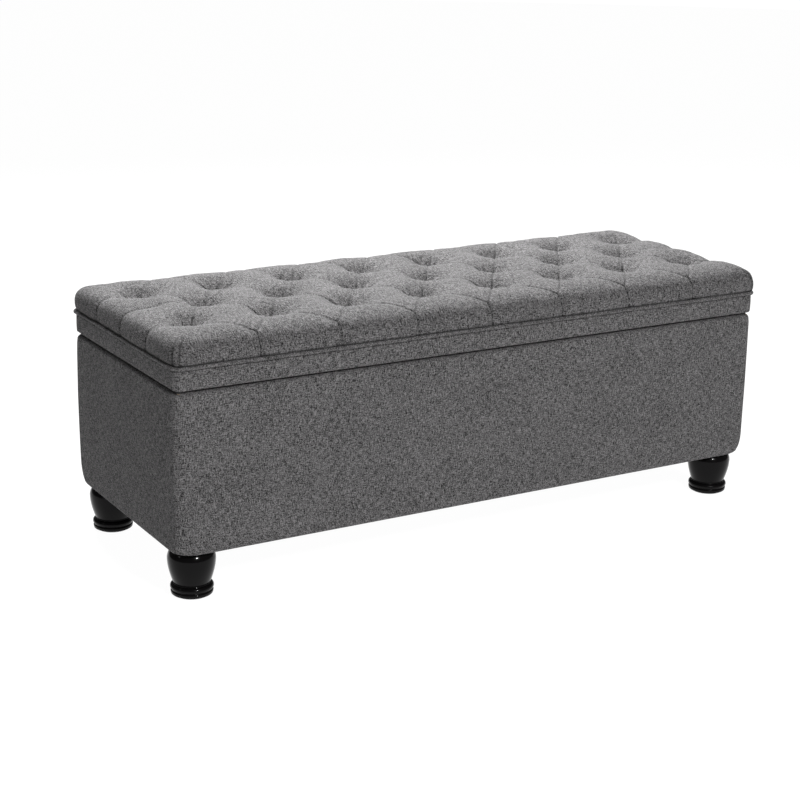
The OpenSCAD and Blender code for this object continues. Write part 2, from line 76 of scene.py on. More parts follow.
HALF_L = case_high[0]
HALF_D = case_high[1]
CORNER_R = 0.014
WOOD_INSET = HALF_L - board_high[0]
CLOTH = 0.001
CROWN = seat_high[2]


# ---- settings ----

class BenchCloth(bpy.types.PropertyGroup):
    """The heathered woven cloth of the case, the lid and the seat."""

    yarn: FloatVectorProperty(
        name="Yarn", description="Middle colour of the cloth", subtype="COLOR", size=3,
        default=(0.088, 0.0855, 0.0868), min=0, max=1)
    heather: FloatProperty(
        name="Heather", description="How far the yarns stray from the middle colour",
        default=0.98, min=0, max=2)
    thread: FloatProperty(
        name="Thread", description="Distance from one thread to the next",
        default=0.00105, min=0.0003, max=0.004, unit="LENGTH")
    slub: FloatProperty(
        name="Slub length", description="Length of the thick and thin places in a yarn",
        default=0.011, min=0.002, max=0.1, unit="LENGTH")
    relief: FloatProperty(
        name="Relief", description="Height of the threads over the gaps",
        default=0.00035, min=0, max=0.002, unit="LENGTH")


class BenchSeat(bpy.types.PropertyGroup):
    """The deep-tufted cushion and the piping at its foot."""

    tufts_per_row: IntProperty(
        name="Tufts per row", description="Tufts in the front and back rows; the middle row has one less",
        default=8, min=4, max=12)
    pitch: FloatProperty(
        name="Pitch", description="Distance between the tufts of a row",
        default=0.146, min=0.08, max=0.2, unit="LENGTH")
    row_gap: FloatProperty(
        name="Row gap", description="Distance between rows",
        default=0.106, min=0.06, max=0.14, unit="LENGTH")
    bottom: FloatProperty(
        name="Tuft bottom", description="Height of the bottom of a tuft above the floor",
        default=0.4172, min=0.4, max=0.45, unit="LENGTH")
    bowl: FloatProperty(
        name="Bowl", description="Radius of the steep part of a tuft",
        default=0.036, min=0.01, max=0.045, unit="LENGTH")
    slope: FloatProperty(
        name="Slope", description="How far round a tuft the cloth still leans towards it",
        default=0.046, min=0.02, max=0.08, unit="LENGTH")
    pressure: FloatProperty(
        name="Pressure", description="How hard the filling pushes the cloth out while it settles",
        default=3.0, min=0, max=10)


class BenchCase(bpy.types.PropertyGroup):
    """The padded outside of the case and the band of the lid."""

    bulge: FloatProperty(
        name="Bulge", description="How far the padding stands out in the middle of a face",
        default=0.0026, min=0, max=0.006, unit="LENGTH")
    edge: FloatProperty(
        name="Edge", description="Radius of the lower edge",
        default=0.005, min=0.001, max=0.02, unit="LENGTH")
    corner_rise: FloatProperty(
        name="Corner rise", description="Height over which the upright corners round off at the bottom",
        default=0.040, min=0.01, max=0.08, unit="LENGTH")
    corner_cut: FloatProperty(
        name="Corner cut", description="How much larger the corner radius is at the bottom",
        default=0.030, min=0, max=0.06, unit="LENGTH")


class BenchFeet(bpy.types.PropertyGroup):
    """The turned and lacquered feet."""

    lacquer: FloatVectorProperty(
        name="Lacquer", description="Colour of the lacquer", subtype="COLOR", size=3,
        default=(0.0032, 0.0029, 0.0031), min=0, max=1)
    gloss: FloatProperty(
        name="Roughness", description="Roughness of the lacquer",
        default=0.1, min=0, max=1)


class BenchStage(bpy.types.PropertyGroup):
    """The floor, the lights and the camera."""

    place: FloatVectorProperty(
        name="Camera", description="Where the camera stands", subtype="TRANSLATION", size=3,
        default=(-1.6242, -2.6464, 1.1341), unit="LENGTH")
    azimuth: FloatProperty(
        name="Azimuth", description="Which way round the camera stands, in degrees", default=-30.75)
    elevation: FloatProperty(
        name="Elevation", description="How far down the camera looks, in degrees", default=16.60)
    roll: FloatProperty(
        name="Roll", description="How far the camera is tipped, in degrees", default=0.94)
    lens: FloatProperty(
        name="Lens", description="Focal length in millimetres, on a 36 mm sensor",
        default=79.26, min=20, max=300)
    overhead: FloatProperty(
        name="Overhead", description="Power of the large light above, in watts", default=258, min=0)
    front: FloatProperty(
        name="Front", description="Power of the small bright light in front, in watts", default=105, min=0)
    side: FloatProperty(
        name="Side", description="Power of the weak light at the left, in watts", default=2.0, min=0)


class BenchSettings(bpy.types.PropertyGroup):
    """Everything that a user of the bench would change."""

    cloth: PointerProperty(type=BenchCloth)
    seat: PointerProperty(type=BenchSeat)
    case: PointerProperty(type=BenchCase)
    feet: PointerProperty(type=BenchFeet)
    stage: PointerProperty(type=BenchStage)


# ---- finishes ----

class Wire:
    """A socket of a finish, which can be used in sums."""

    def __init__(self, finish, socket):
        self.finish = finish
        self.socket = socket

    def sum(self, operation, *values):
        sockets = dict(enumerate(values))
        return self.finish.node("Math", {"operation": operation}, sockets)

    def __add__(self, other):
        return self.sum("ADD", self, other)

    def __radd__(self, other):
        return self.sum("ADD", other, self)

    def __sub__(self, other):
        return self.sum("SUBTRACT", self, other)

    def __rsub__(self, other):
        return self.sum("SUBTRACT", other, self)

    def __mul__(self, other):
        return self.sum("MULTIPLY", self, other)

    def __rmul__(self, other):
        return self.sum("MULTIPLY", other, self)

    def __truediv__(self, other):
        return self.sum("DIVIDE", self, other)

    def __abs__(self):
        return self.sum("ABSOLUTE", self)

    def sine(self):
        return self.sum("SINE", self)

    def whole(self):
        return self.sum("FLOOR", self)

    def between(self, low, high):
        """The value kept between low and high."""
        return self.sum("MINIMUM", self.sum("MAXIMUM", self, low), high)


class Nodes:
    """The node tree of a material or a world, built node by node."""

    def __init__(self, owner):
        owner.use_nodes = True
        self.tree = owner.node_tree

    def find(self, sockets, key):
        """A socket by its place, its identifier or its name."""
        if isinstance(key, int):
            return sockets[key]
        for socket in sockets:
            if socket.identifier == key:
                return socket
        return sockets[key]

    def put(self, socket, value):
        if isinstance(value, Wire):
            self.tree.links.new(value.socket, socket)
        elif socket.type == "VECTOR":
            socket.default_value = value[:3]
        else:
            socket.default_value = value

    def node(self, kind, settings=None, sockets=None, output=0):
        """Adds a node: its settings first, then the values or links of its sockets."""
        made = self.tree.nodes.new("ShaderNode" + kind)
        for name, value in (settings or {}).items():
            setattr(made, name, value)
        for key, value in (sockets or {}).items():
            self.put(self.find(made.inputs, key), value)
        return Wire(self, self.find(made.outputs, output))


class Finish(Nodes):
    """A material on a Principled shader, whose constants are given by the names of their sockets."""

    def __init__(self, name, **constants):
        self.material = bpy.data.materials.new(name)
        super().__init__(self.material)
        self.shader = self.tree.nodes["Principled BSDF"]
        for socket, value in constants.items():
            self.shader.inputs[socket.replace("_", " ")].default_value = value

    def spread(self, place, x, y, z=0.0):
        """Coordinates stretched by a factor along each axis."""
        return self.node("VectorMath", {"operation": "MULTIPLY"}, {0: place, 1: (x, y, z)})

    def noise(self, place, scale=1.0, detail=2.0, rough=0.5, flat=False):
        return self.node("TexNoise", {"noise_dimensions": "2D" if flat else "3D"},
                         {"Vector": place, "Scale": scale, "Detail": detail, "Roughness": rough})

    def speckle(self, x, y):
        """Another value, -0.5 to 0.5, on each whole square."""
        square = self.node("CombineXYZ", None, {"X": x.whole(), "Y": y.whole()})
        return self.node("TexWhiteNoise", {"noise_dimensions": "2D"}, {"Vector": square}, "Value") - 0.5

    def mix(self, share, first, second):
        return self.node("Mix", {"data_type": "RGBA"},
                         {"Factor_Float": share, "A_Color": first, "B_Color": second},
                         "Result_Color")

    def shade(self, colour, share):
        """A colour multiplied by a number that varies."""
        return self.node("VectorMath", {"operation": "SCALE"}, {0: colour, "Scale": share})

    def raise_by(self, height, distance):
        """Bump from a height between 0 and 1."""
        bump = self.node("Bump", None, {"Height": height, "Distance": distance, "Strength": 1.0})
        self.feed(Normal=bump)

    def feed(self, **wires):
        """Links what varies to the shader's sockets, by their names."""
        for socket, wire in wires.items():
            self.put(self.shader.inputs[socket.replace("_", " ")], wire)

    def object_place(self):
        return self.node("TexCoord", None, None, "Object")


def plain(colour):
    """A colour with full alpha."""
    return (*colour, 1.0)


def cover_cloth(settings, bias=False):
    """Plain-woven linen look: dark and light yarns in both directions, with slubs and flecks, and painted
    shade in the folds and between the threads.
    """
    name = "bias_cut_cloth" if bias else "heathered_cloth"
    cloth = Finish(name, Sheen_Weight=0.06, Sheen_Roughness=0.5, Specular_IOR_Level=0.15)
    place = cloth.node("UVMap", {"uv_map": "weave"})
    if bias:
        place = cloth.node("VectorRotate", {"rotation_type": "Z_AXIS"},
                           {"Vector": place, "Angle": math.radians(45)})
    per_thread = 1 / settings.thread
    per_slub = 1 / settings.slub
    per_yarn = 1.1 * per_thread
    drift = cloth.noise(place, 45, 1, flat=True) * 2.2
    warp = cloth.node("SeparateXYZ", None, {0: place}, "X") * per_thread + drift
    weft = cloth.node("SeparateXYZ", None, {0: place}, "Y") * per_thread + drift
    warp_wave = (warp * math.pi).sine()
    weft_wave = (weft * math.pi).sine()
    over = (warp_wave * weft_wave * 3).between(-1, 1) * 0.5 + 0.5
    height = abs(warp_wave) * over + abs(weft_wave) * (1 - over)

    warp_yarn = cloth.noise(cloth.spread(place, per_yarn, per_slub), 1, 1, flat=True) - 0.5
    weft_yarn = cloth.noise(cloth.spread(place, per_slub, per_yarn), 1, 1, flat=True) - 0.5
    flecks = cloth.speckle(warp, weft)
    clouds = cloth.noise(place, 14, 2, flat=True) - 0.5
    yarn = warp_yarn * (over * 0.6 + 0.7) + weft_yarn * ((1 - over) * 0.6 + 0.6)
    knots = cloth.speckle(warp / 2, weft / 2)
    tone = (yarn * 3.3 + flecks * 2.2 + knots * 0.3 + clouds * 0.4) * settings.heather + 1
    # Painted shade: the point attribute read here darkens the cloth along the folds, the corner creases and
    # the seam behind the piping.
    fold = cloth.node("Attribute", {"attribute_name": "fold"}, None, "Fac")
    # Painted shade: the colour is darker in the gaps between the threads and lighter on their crowns, by
    # the thread height.
    tone = tone.between(0.1, 2.6) * (height * 0.4 + 0.76) * (1 - fold * 0.8)
    cloth.feed(Base_Color=cloth.shade(plain(settings.yarn), tone), Roughness=0.92 - height * 0.1)
    cloth.raise_by(height * 0.8 + flecks * 0.5, settings.relief)
    return cloth.material


def lining_cloth():
    """Thin black nonwoven lining with pressed dimples."""
    cloth = Finish("lining_cloth", Sheen_Weight=0.1, Specular_IOR_Level=0.2)
    place = cloth.node("UVMap", {"uv_map": "weave"})
    fibres = cloth.noise(place, 900, 4, 0.7, flat=True)
    dimples = cloth.node("TexVoronoi", {"voronoi_dimensions": "2D", "feature": "F1"},
                         {"Vector": place, "Scale": 420.0, "Randomness": 0.15}, "Distance")
    tone = fibres * 0.9 + dimples * 0.35 + 0.35
    cloth.feed(Base_Color=cloth.shade((0.030, 0.030, 0.032, 1), tone), Roughness=fibres * 0.2 + 0.75)
    cloth.raise_by(dimples + fibres * 0.6, 0.0003)
    return cloth.material


def particle_board():
    """Pressed board with fine chips."""
    board = Finish("board", Specular_IOR_Level=0.3)
    place = board.object_place()
    cells = board.spread(place, 260, 260, 420)
    chips = board.node("TexVoronoi", {"feature": "F1"}, {"Vector": cells}, "Color")
    fine = board.noise(place, 700, 3)
    chip = board.node("SeparateColor", None, {0: chips}, 0)
    colour = board.mix(chip * 0.6 + fine * 0.4, (0.35, 0.23, 0.125, 1), (0.62, 0.45, 0.27, 1))
    board.feed(Base_Color=colour, Roughness=fine * 0.3 + 0.6)
    board.raise_by(fine, 0.0002)
    return board.material


def pine():
    """Planed pine with its grain along the longest rails."""
    wood = Finish("timber", Specular_IOR_Level=0.35)
    place = wood.object_place()
    sway = wood.noise(wood.spread(place, 2, 9, 9), 1, 2)
    rings = wood.node("TexWave", {"wave_type": "RINGS", "rings_direction": "X"},
                      {"Vector": wood.spread(place, 3, 26, 26), "Scale": 1.3, "Distortion": 5.0,
                       "Detail": 3.0, "Detail Scale": 1.4}, "Fac")
    pores = wood.noise(wood.spread(place, 60, 900, 900), 1, 2)
    colour = wood.mix(rings * 0.75 + sway * 0.2, (0.62, 0.42, 0.21, 1), (0.40, 0.22, 0.09, 1))
    colour = wood.mix(pores * 0.25, colour, (0.25, 0.14, 0.06, 1))
    wood.feed(Base_Color=colour, Roughness=pores * 0.25 + 0.5)
    wood.raise_by(pores * 0.5 + rings * 0.5, 0.0002)
    return wood.material


def black_lacquer(settings):
    """Sprayed gloss lacquer with a faint orange peel and dulled spots."""
    lacquer = Finish("lacquer", Specular_IOR_Level=0.06, Coat_Roughness=0.04, Coat_IOR=1.2)
    place = lacquer.object_place()
    peel = lacquer.noise(place, 160, 2)
    dust = lacquer.noise(place, 900, 3, 0.8)
    handled = lacquer.noise(place, 22, 3)
    colour = lacquer.shade(plain(settings.lacquer), handled * 0.5 + 0.75)
    lacquer.feed(Base_Color=colour, Roughness=handled * 0.1 + dust * 0.06 + settings.gloss,
                 Coat_Weight=0.6 - handled * 0.25)
    lacquer.raise_by(peel * 0.8 + dust * 0.2, 0.00006)
    return lacquer.material


def zinc_plate(name, colour, scratch_along=(900, 30, 900)):
    """Bright zinc on pressed steel, with rubbed streaks and a slight yellow bloom."""
    zinc = Finish(name, Metallic=1.0)
    place = zinc.object_place()
    streaks = zinc.noise(zinc.spread(place, *scratch_along), 1, 3, 0.7)
    bloom = zinc.noise(place, 38, 3)
    spangle = zinc.node("TexVoronoi", {"feature": "F1"}, {"Vector": place, "Scale": 240.0}, "Distance")
    tint = zinc.mix(bloom, plain(colour), (0.60, 0.56, 0.46, 1))
    zinc.feed(Base_Color=zinc.shade(tint, streaks * 0.35 + spangle * 0.2 + 0.7),
              Roughness=streaks * 0.25 + bloom * 0.2 + 0.16)
    zinc.raise_by(streaks, 0.00008)
    return zinc.material


def black_rubber():
    """Moulded rubber, a little dusty."""
    rubber = Finish("rubber", Specular_IOR_Level=0.35)
    place = rubber.object_place()
    grain = rubber.noise(place, 1400, 3)
    dust = rubber.noise(place, 60, 4)
    colour = rubber.mix(dust * 0.5, (0.018, 0.018, 0.018, 1), (0.07, 0.068, 0.065, 1))
    rubber.feed(Base_Color=colour, Roughness=grain * 0.25 + 0.55)
    rubber.raise_by(grain, 0.0002)
    return rubber.material


def waxed_cord():
    """Twisted tufting twine."""
    cord = Finish("cord", Specular_IOR_Level=0.4)
    place = cord.object_place()
    twist = cord.node("TexWave", {"wave_type": "BANDS", "bands_direction": "DIAGONAL"},
                      {"Vector": place, "Scale": 260.0, "Distortion": 1.5}, "Fac")
    colour = cord.mix(twist, (0.50, 0.44, 0.32, 1), (0.80, 0.74, 0.60, 1))
    cord.feed(Base_Color=colour, Roughness=twist * 0.2 + 0.6)
    cord.raise_by(twist, 0.0004)
    return cord.material


def upholstery_foam():
    """Open-celled foam, for what the covers hide."""
    foam = Finish("foam")
    cells = foam.noise(foam.object_place(), 1200, 2)
    foam.feed(Base_Color=foam.mix(cells, (0.70, 0.64, 0.46, 1), (0.86, 0.82, 0.68, 1)),
              Roughness=cells * 0.1 + 0.85)
    foam.raise_by(cells, 0.0008)
    return foam.material


def finish_nodes(material, *nodes):
    """Gives CAD nodes a finish."""
    for node in nodes:
        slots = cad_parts[node].data.materials
        if not len(slots):
            slots.append(material)
        for index in range(len(slots)):
            slots[index] = material


# ---- making meshes ----

def make_piece(name, points, faces, uv, material, body, replaced=(), values=None):
    """A smooth mesh piece that rides on a body and stands for CAD nodes.

    Each face corner has its place on the cloth in uv; values are numbers for each point, by name."""
    mesh = bpy.data.meshes.new(name)
    mesh.from_pydata(np.asarray(points).tolist(), [], faces)
    layer = mesh.uv_layers.new(name="weave")
    layer.data.foreach_set("uv", np.asarray(uv, np.float32).ravel())
    for key, value in (values or {}).items():
        mesh.attributes.new(key, "FLOAT", "POINT").data.foreach_set("value", value.astype(np.float32))
    mesh.polygons.foreach_set("use_smooth", [True] * len(mesh.polygons))
    mesh.materials.append(material)
    mesh.validate()
    mesh.update()
    piece = bpy.data.objects.new(name, mesh)
    bpy.context.scene.collection.objects.link(piece)
    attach(piece, body)
    if replaced:
        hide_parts(*replaced)
    return piece


def waves(seed, count, shortest, longest):
    """A smooth, uneven height over a plane, about -1 to 1, made of random waves."""
    draw = np.random.default_rng(seed)
    lengths = draw.uniform(shortest, longest, count)
    turns = draw.uniform(0, 2 * math.pi, count)
    starts = draw.uniform(0, 2 * math.pi, count)

    def height(x, y):
        total = np.zeros(np.broadcast(x, y).shape)
        for length, turn, start in zip(lengths, turns, starts):
            across = x * math.cos(turn) + y * math.sin(turn)
            total += np.sin(2 * math.pi * across / length + start)
        return total / math.sqrt(count)

    return height


def ring(half_x, half_y, radius, cells):
    """Points and outward directions round a rounded rectangle, from the middle of the back."""
    along, across, corner = cells
    flat_x = half_x - radius
    flat_y = half_y - radius
    quarter = np.linspace(0, math.pi / 2, corner + 1)[:-1]

    def straight(start, end, count, way):
        share = np.arange(count)[:, None] / count
        points = np.array(start) + share * (np.array(end) - np.array(start))
        return points, np.tile(way, (count, 1))

    def arc(x, y, turned):
        way = np.stack([np.cos(quarter + turned), np.sin(quarter + turned)], 1)
        return np.array([x, y]) + radius * way, way

    parts = [
        straight((0, half_y), (-flat_x, half_y), along // 2, (0, 1)),
        arc(-flat_x, flat_y, math.pi / 2),
        straight((-half_x, flat_y), (-half_x, -flat_y), across, (-1, 0)),
        arc(-flat_x, -flat_y, math.pi),
        straight((-flat_x, -half_y), (flat_x, -half_y), along, (0, -1)),
        arc(flat_x, -flat_y, 1.5 * math.pi),
        straight((half_x, -flat_y), (half_x, flat_y), across, (1, 0)),
        arc(flat_x, flat_y, 0),
        straight((flat_x, half_y), (0, half_y), along // 2, (0, 1)),
    ]
    return np.concatenate([p for p, _ in parts]), np.concatenate([w for _, w in parts])


def run_of(points, closed=True):
    """Running length along a line of points."""
    line = np.vstack([points, points[:1]]) if closed else points
    return np.concatenate([[0], np.cumsum(np.linalg.norm(np.diff(line, axis=0), axis=1))])


def wrap(rings, closed):
    """Points, faces and cloth coordinates of a skin over rings; closed joins the last ring to the first."""
    rings = np.asarray(rings)
    rows, count = rings.shape[:2]
    along = max((run_of(one[:, :2]) for one in rings), key=lambda run: run[-1])
    middle = rings[:, 0]
    up = run_of(middle, closed)
    faces, uv = [], []
    for row in range(rows if closed else rows - 1):
        below, above = row * count, (row + 1) % rows * count
        for i in range(count):
            j = (i + 1) % count
            faces.append((below + i, above + i, above + j, below + j))
            uv += [(along[i], up[row]), (along[i], up[row + 1]),
                   (along[i + 1], up[row + 1]), (along[i + 1], up[row])]
    return rings.reshape(-1, 3), faces, uv


def flipped(uv):
    """Cloth coordinates for faces whose corners are taken the other way round."""
    return np.asarray(uv).reshape(-1, 4, 2)[:, ::-1].reshape(-1, 2)


def around_grid(index):
    """The outer points of a grid in order, seen from above, against the clock from the front left."""
    return np.concatenate([index[:-1, 0], index[-1, :-1], index[:0:-1, -1], index[0, :0:-1]])


def grid_quads(index):
    """The four corners of every cell of a grid of points."""
    corners = [index[:-1, :-1], index[1:, :-1], index[1:, 1:], index[:-1, 1:]]
    return np.stack(corners, -1).reshape(-1, 4)


def cap(faces, uv, points, start, count, flip):
    """Closes a ring of points with one flat face."""
    face = list(range(start, start + count))
    if flip:
        face.reverse()
    faces.append(tuple(face))
    uv += [tuple(points[i][:2]) for i in face]


def ring_at(half_x, half_y, radius, cells, z):
    """A level ring of points at a height."""
    points, _ = ring(half_x, half_y, radius, cells)
    return np.column_stack([points, np.full(len(points), z)])


# ---- the seat ----

def profile(power, shell, reach, inner, base):
    """The side of the cushion, from its crown to its foot: shares of its reach, heights and lengths.

    The last value is the length at which the top's cells end, at a share of inner."""
    turn = np.linspace(0, math.pi / 2, 400)
    out = np.sin(turn) ** (2 / power)
    rise = shell["equator"] + (shell["top"] - shell["equator"]) * np.cos(turn) ** (2 / power)
    tuck = np.linspace(0, math.pi / 2, 80)[1:]
    under = base["share"] + (1 - base["share"]) * np.cos(tuck)
    low = shell["equator"] - (shell["equator"] - base["z"]) * np.sin(tuck)
    share = np.concatenate([out, under])
    height = np.concatenate([rise, low])
    length = np.concatenate([[0], np.cumsum(np.hypot(np.diff(share) * reach, np.diff(height)))])
    first = np.interp(inner, out, length[:len(out)])
    return share, height, length, first


class Cushion:
    """The seat as a grid of cells over its top, with a skirt of rings down its sides.

    A place on the grid is counted in half pitches along the bench and row gaps across it,
    so each tuft and each pleat falls on points of the grid."""

    TOP_SHARE = 0.66  # how far towards the sides the cells of the top reach
    FLAT_ROWS = 1 + 6 / 16  # grid place where the top starts to round over to the front and back
    SHOULDER_CELLS = 8 / 16  # from there to the last cell of the top
    EDGE_CELLS = 11 / 16  # from the last tuft of a row to the last cell of the top
    SKIRT = 14 / 16  # from the top to the foot of the cushion, down its sides

    PILLOW = 0.0022  # rise of each diamond in its middle
    VALLEY = 0.0046  # depth of the soft valley along a pleat
    SIDE_BELLY = 0.0012  # how far the sides stand out between the pleats
    END_HOLLOW = 0.0036  # depth of the wide hollows at the two ends
    LIP = 0.0011  # rise of the cloth beside a fold
    FOLD = 0.0034  # depth of the sharp line of a fold
    GATHERS = 0.00042  # height of the small rays round a tuft
    SHADE_FROM = 0.4032  # height under which painted shade darkens the cloth in the seam behind the piping

    def __init__(self, settings, cells):
        self.settings = settings
        self.cells = cells
        self.half_pitch = settings.pitch / 2
        self.gap = settings.row_gap
        self.end = settings.tufts_per_row - 1
        self.shell = {"top": CROWN - 0.0018, "equator": 0.4065}
        self.base = {"share": 0.90, "z": seat_low[2] + 0.0003}
        self.inner_x = self.end * self.half_pitch
        self.inner_y = self.FLAT_ROWS * self.gap
        self.reach_x = seat_high[0] + 0.0005 - self.inner_x
        self.reach_y = seat_high[1] + 0.0005 - self.inner_y
        self.end_profile = profile(3.5, self.shell, self.reach_x, self.TOP_SHARE, self.base)
        self.side_profile = profile(2.4, self.shell, self.reach_y, self.TOP_SHARE, self.base)
        self.lay_out()
        self.find_pleats()

    def lay_out(self):
        """Grid places, smooth positions and flat cloth coordinates of every point."""
        n = self.cells
        self.nx = round((self.end + self.EDGE_CELLS) * n)
        self.ny = round((self.FLAT_ROWS + self.SHOULDER_CELLS) * n)
        i = np.arange(-self.nx, self.nx + 1)
        j = np.arange(-self.ny, self.ny + 1)
        gi, gj = np.meshgrid(i / n, j / n, indexing="ij")
        self.top_shape = gi.shape
        u = np.clip((np.abs(gi) - self.end) / self.EDGE_CELLS, 0, None)
        v = np.clip((np.abs(gj) - self.FLAT_ROWS) / self.SHOULDER_CELLS, 0, None)
        top = self.place(gi, gj, u, v, None)
        rim = around_grid(np.arange(gi.size).reshape(gi.shape))
        self.rim_index = rim
        ru, rv = u.ravel()[rim], v.ravel()[rim]
        ri, rj = gi.ravel()[rim], gj.ravel()[rim]
        rows = round(self.SKIRT * n)
        parts = [top]
        for k in range(1, rows + 1):
            step = k / n
            out_x = np.where(ru >= 1 - 1e-9, step, 0)
            out_y = np.where(rv >= 1 - 1e-9, step, 0)
            parts.append(self.place(ri + np.sign(ri) * out_x, rj + np.sign(rj) * out_y, ru, rv,
                                    k / rows))
        self.rows = rows
        self.grid = np.concatenate([p[0] for p in parts])
        self.points = np.concatenate([p[1] for p in parts])
        self.flat = np.concatenate([p[2] for p in parts])
        self.down = np.concatenate([p[3] for p in parts])
        self.faces = self.make_faces()

    def place(self, gi, gj, u, v, down):
        """Grid places, their points, their places on the flat cloth and their shares of the way down.

        The share down the sides is given, or is None on the top."""
        gi, gj, u, v = gi.ravel(), gj.ravel(), u.ravel(), v.ravel()
        most = np.maximum(u, v)
        power = 9.0
        squeeze = most / np.maximum((u ** power + v ** power) ** (1 / power), 1e-9)
        squeeze = np.where(most > 0, squeeze, 1)
        weight = np.where(most > 0, u ** 3 / np.maximum(u ** 3 + v ** 3, 1e-9), 0)
        share, height, length = 0, 0, 0
        for side, part in ((self.end_profile, weight), (self.side_profile, 1 - weight)):
            shares, heights, lengths, first = side
            if down is None:
                out = most * self.TOP_SHARE
                widest = int(np.argmax(shares)) + 1
                at = np.interp(out, shares[:widest], lengths[:widest])
            else:
                at = np.full(len(u), first + (lengths[-1] - first) * down)
                out = np.interp(at, lengths, shares)
            share = share + part * out
            height = height + part * np.interp(at, lengths, heights)
            length = length + part * at
        base = np.maximum(most, 1e-9)
        level_x = np.clip(gi, -self.end, self.end) * self.half_pitch
        level_y = np.clip(gj, -self.FLAT_ROWS, self.FLAT_ROWS) * self.gap
        x = level_x + np.sign(gi) * (u / base * squeeze) * share * self.reach_x
        y = level_y + np.sign(gj) * (v / base * squeeze) * share * self.reach_y
        a = level_x + np.sign(gi) * u / base * length
        b = level_y + np.sign(gj) * v / base * length
        depth = np.zeros(len(u)) if down is None else np.full(len(u), down)
        return (np.stack([gi, gj], 1), np.stack([x, y, height], 1), np.stack([a, b], 1), depth)

    def make_faces(self):
        """Triangles, split so that a pleat never crosses one."""
        index = np.arange(math.prod(self.top_shape)).reshape(self.top_shape)
        quads = [grid_quads(index)]
        count = len(self.rim_index)
        rings = [self.rim_index]
        for k in range(self.rows):
            rings.append(index.size + k * count + np.arange(count))
        for upper, lower in zip(rings[:-1], rings[1:]):
            quads.append(np.stack([lower, np.roll(lower, -1), np.roll(upper, -1), upper], 1))
        quads = np.concatenate(quads)
        self.last_ring = rings[-1]
        middle = self.grid[quads].mean(1)
        rising = np.abs((middle[:, 0] - middle[:, 1] + 1) % 2 - 1)
        falling = np.abs((middle[:, 0] + middle[:, 1] + 1) % 2 - 1)
        corner = self.grid[quads]
        slant = (corner[:, 2] - corner[:, 0]).prod(1)
        split = (rising < falling) == (slant >= 0)
        first = np.where(split[:, None], quads[:, [0, 1, 2]], quads[:, [0, 1, 3]])
        second = np.where(split[:, None], quads[:, [0, 2, 3]], quads[:, [1, 2, 3]])
        return np.concatenate([first, second])

    def tufts(self):
        """Grid places of the tufts: two full rows and a staggered one between them."""
        outer = np.arange(-self.end, self.end + 1, 2)
        inner = np.arange(1 - self.end, self.end, 2)
        return np.array([(i, j) for j in (-1, 1) for i in outer] + [(i, 0) for i in inner], float)

    def pleat_lines(self):
        """Start, end and pull of each pleat; it starts at a tuft or where two pleats meet."""
        lines = []
        foot_i, foot_j = self.grid.max(0)
        for i, j in self.tufts():
            if j == 0:
                lines += [((i, 0), (i + di, dj), 0.3) for di in (-1, 1) for dj in (-1, 1)]
            else:
                lines += [((i, j), (i + di, 2 * j), 0.35) for di in (-1, 1) if abs(i + di) <= self.end]
            last_of_row = self.end if j else self.end - 1
            if abs(i) == last_of_row:
                lines.append(((i, j), (math.copysign(foot_i, i), j), 0.5))
        for i in np.arange(1 - self.end, self.end, 2):
            lines += [((i, 2 * side), (i, side * foot_j), 0.65) for side in (-1, 1)]
        return lines

    def find_pleats(self):
        """Where each point is from the nearest tuft and pleat, and how hard that pleat pulls."""
        scale = np.array([self.half_pitch, self.gap])
        place = self.grid * scale
        self.tuft_places = self.tufts() * scale
        gaps = np.linalg.norm(place[:, None] - self.tuft_places[None], axis=2)
        self.tuft_gap = gaps.min(1)
        self.nearest_tuft = gaps.argmin(1)
        away = place - self.tuft_places[self.nearest_tuft]
        self.tuft_turn = np.arctan2(away[:, 1], away[:, 0])
        self.pleat_gap = np.full(len(place), 1.0)
        self.pleat_side = np.zeros(len(place))
        self.pleat_pull = np.zeros(len(place))
        for start, end, pull in self.pleat_lines():
            a, b = np.array(start) * scale, np.array(end) * scale
            run = b - a
            share = np.clip(((place - a) @ run) / (run @ run), 0, 1)
            off = place - (a + share[:, None] * run)
            gap = np.linalg.norm(off, axis=1)
            near = gap < self.pleat_gap
            side = np.sign(off[:, 0] * run[1] - off[:, 1] * run[0])
            if run[0] * (a[1] if a[1] else run[1]) < 0:
                side = -side
            self.pleat_gap[near] = gap[near]
            self.pleat_side[near] = side[near]
            self.pleat_pull[near] = pull

    def normals(self, points):
        """The outward direction at each point."""
        total = np.zeros_like(points)
        a, b, c = (points[self.faces[:, k]] for k in range(3))
        each = np.cross(b - a, c - a)
        for k in range(3):
            np.add.at(total, self.faces[:, k], each)
        return total / np.maximum(np.linalg.norm(total, axis=1, keepdims=True), 1e-12)

    def tuft_pull(self):
        """How hard a tuft pulls the pleats near it, 1 in its middle."""
        return np.exp(-(self.tuft_gap / 0.045) ** 2)

    def on_pleat(self):
        """Which points lie on a pleat."""
        return self.pleat_gap < 1e-5

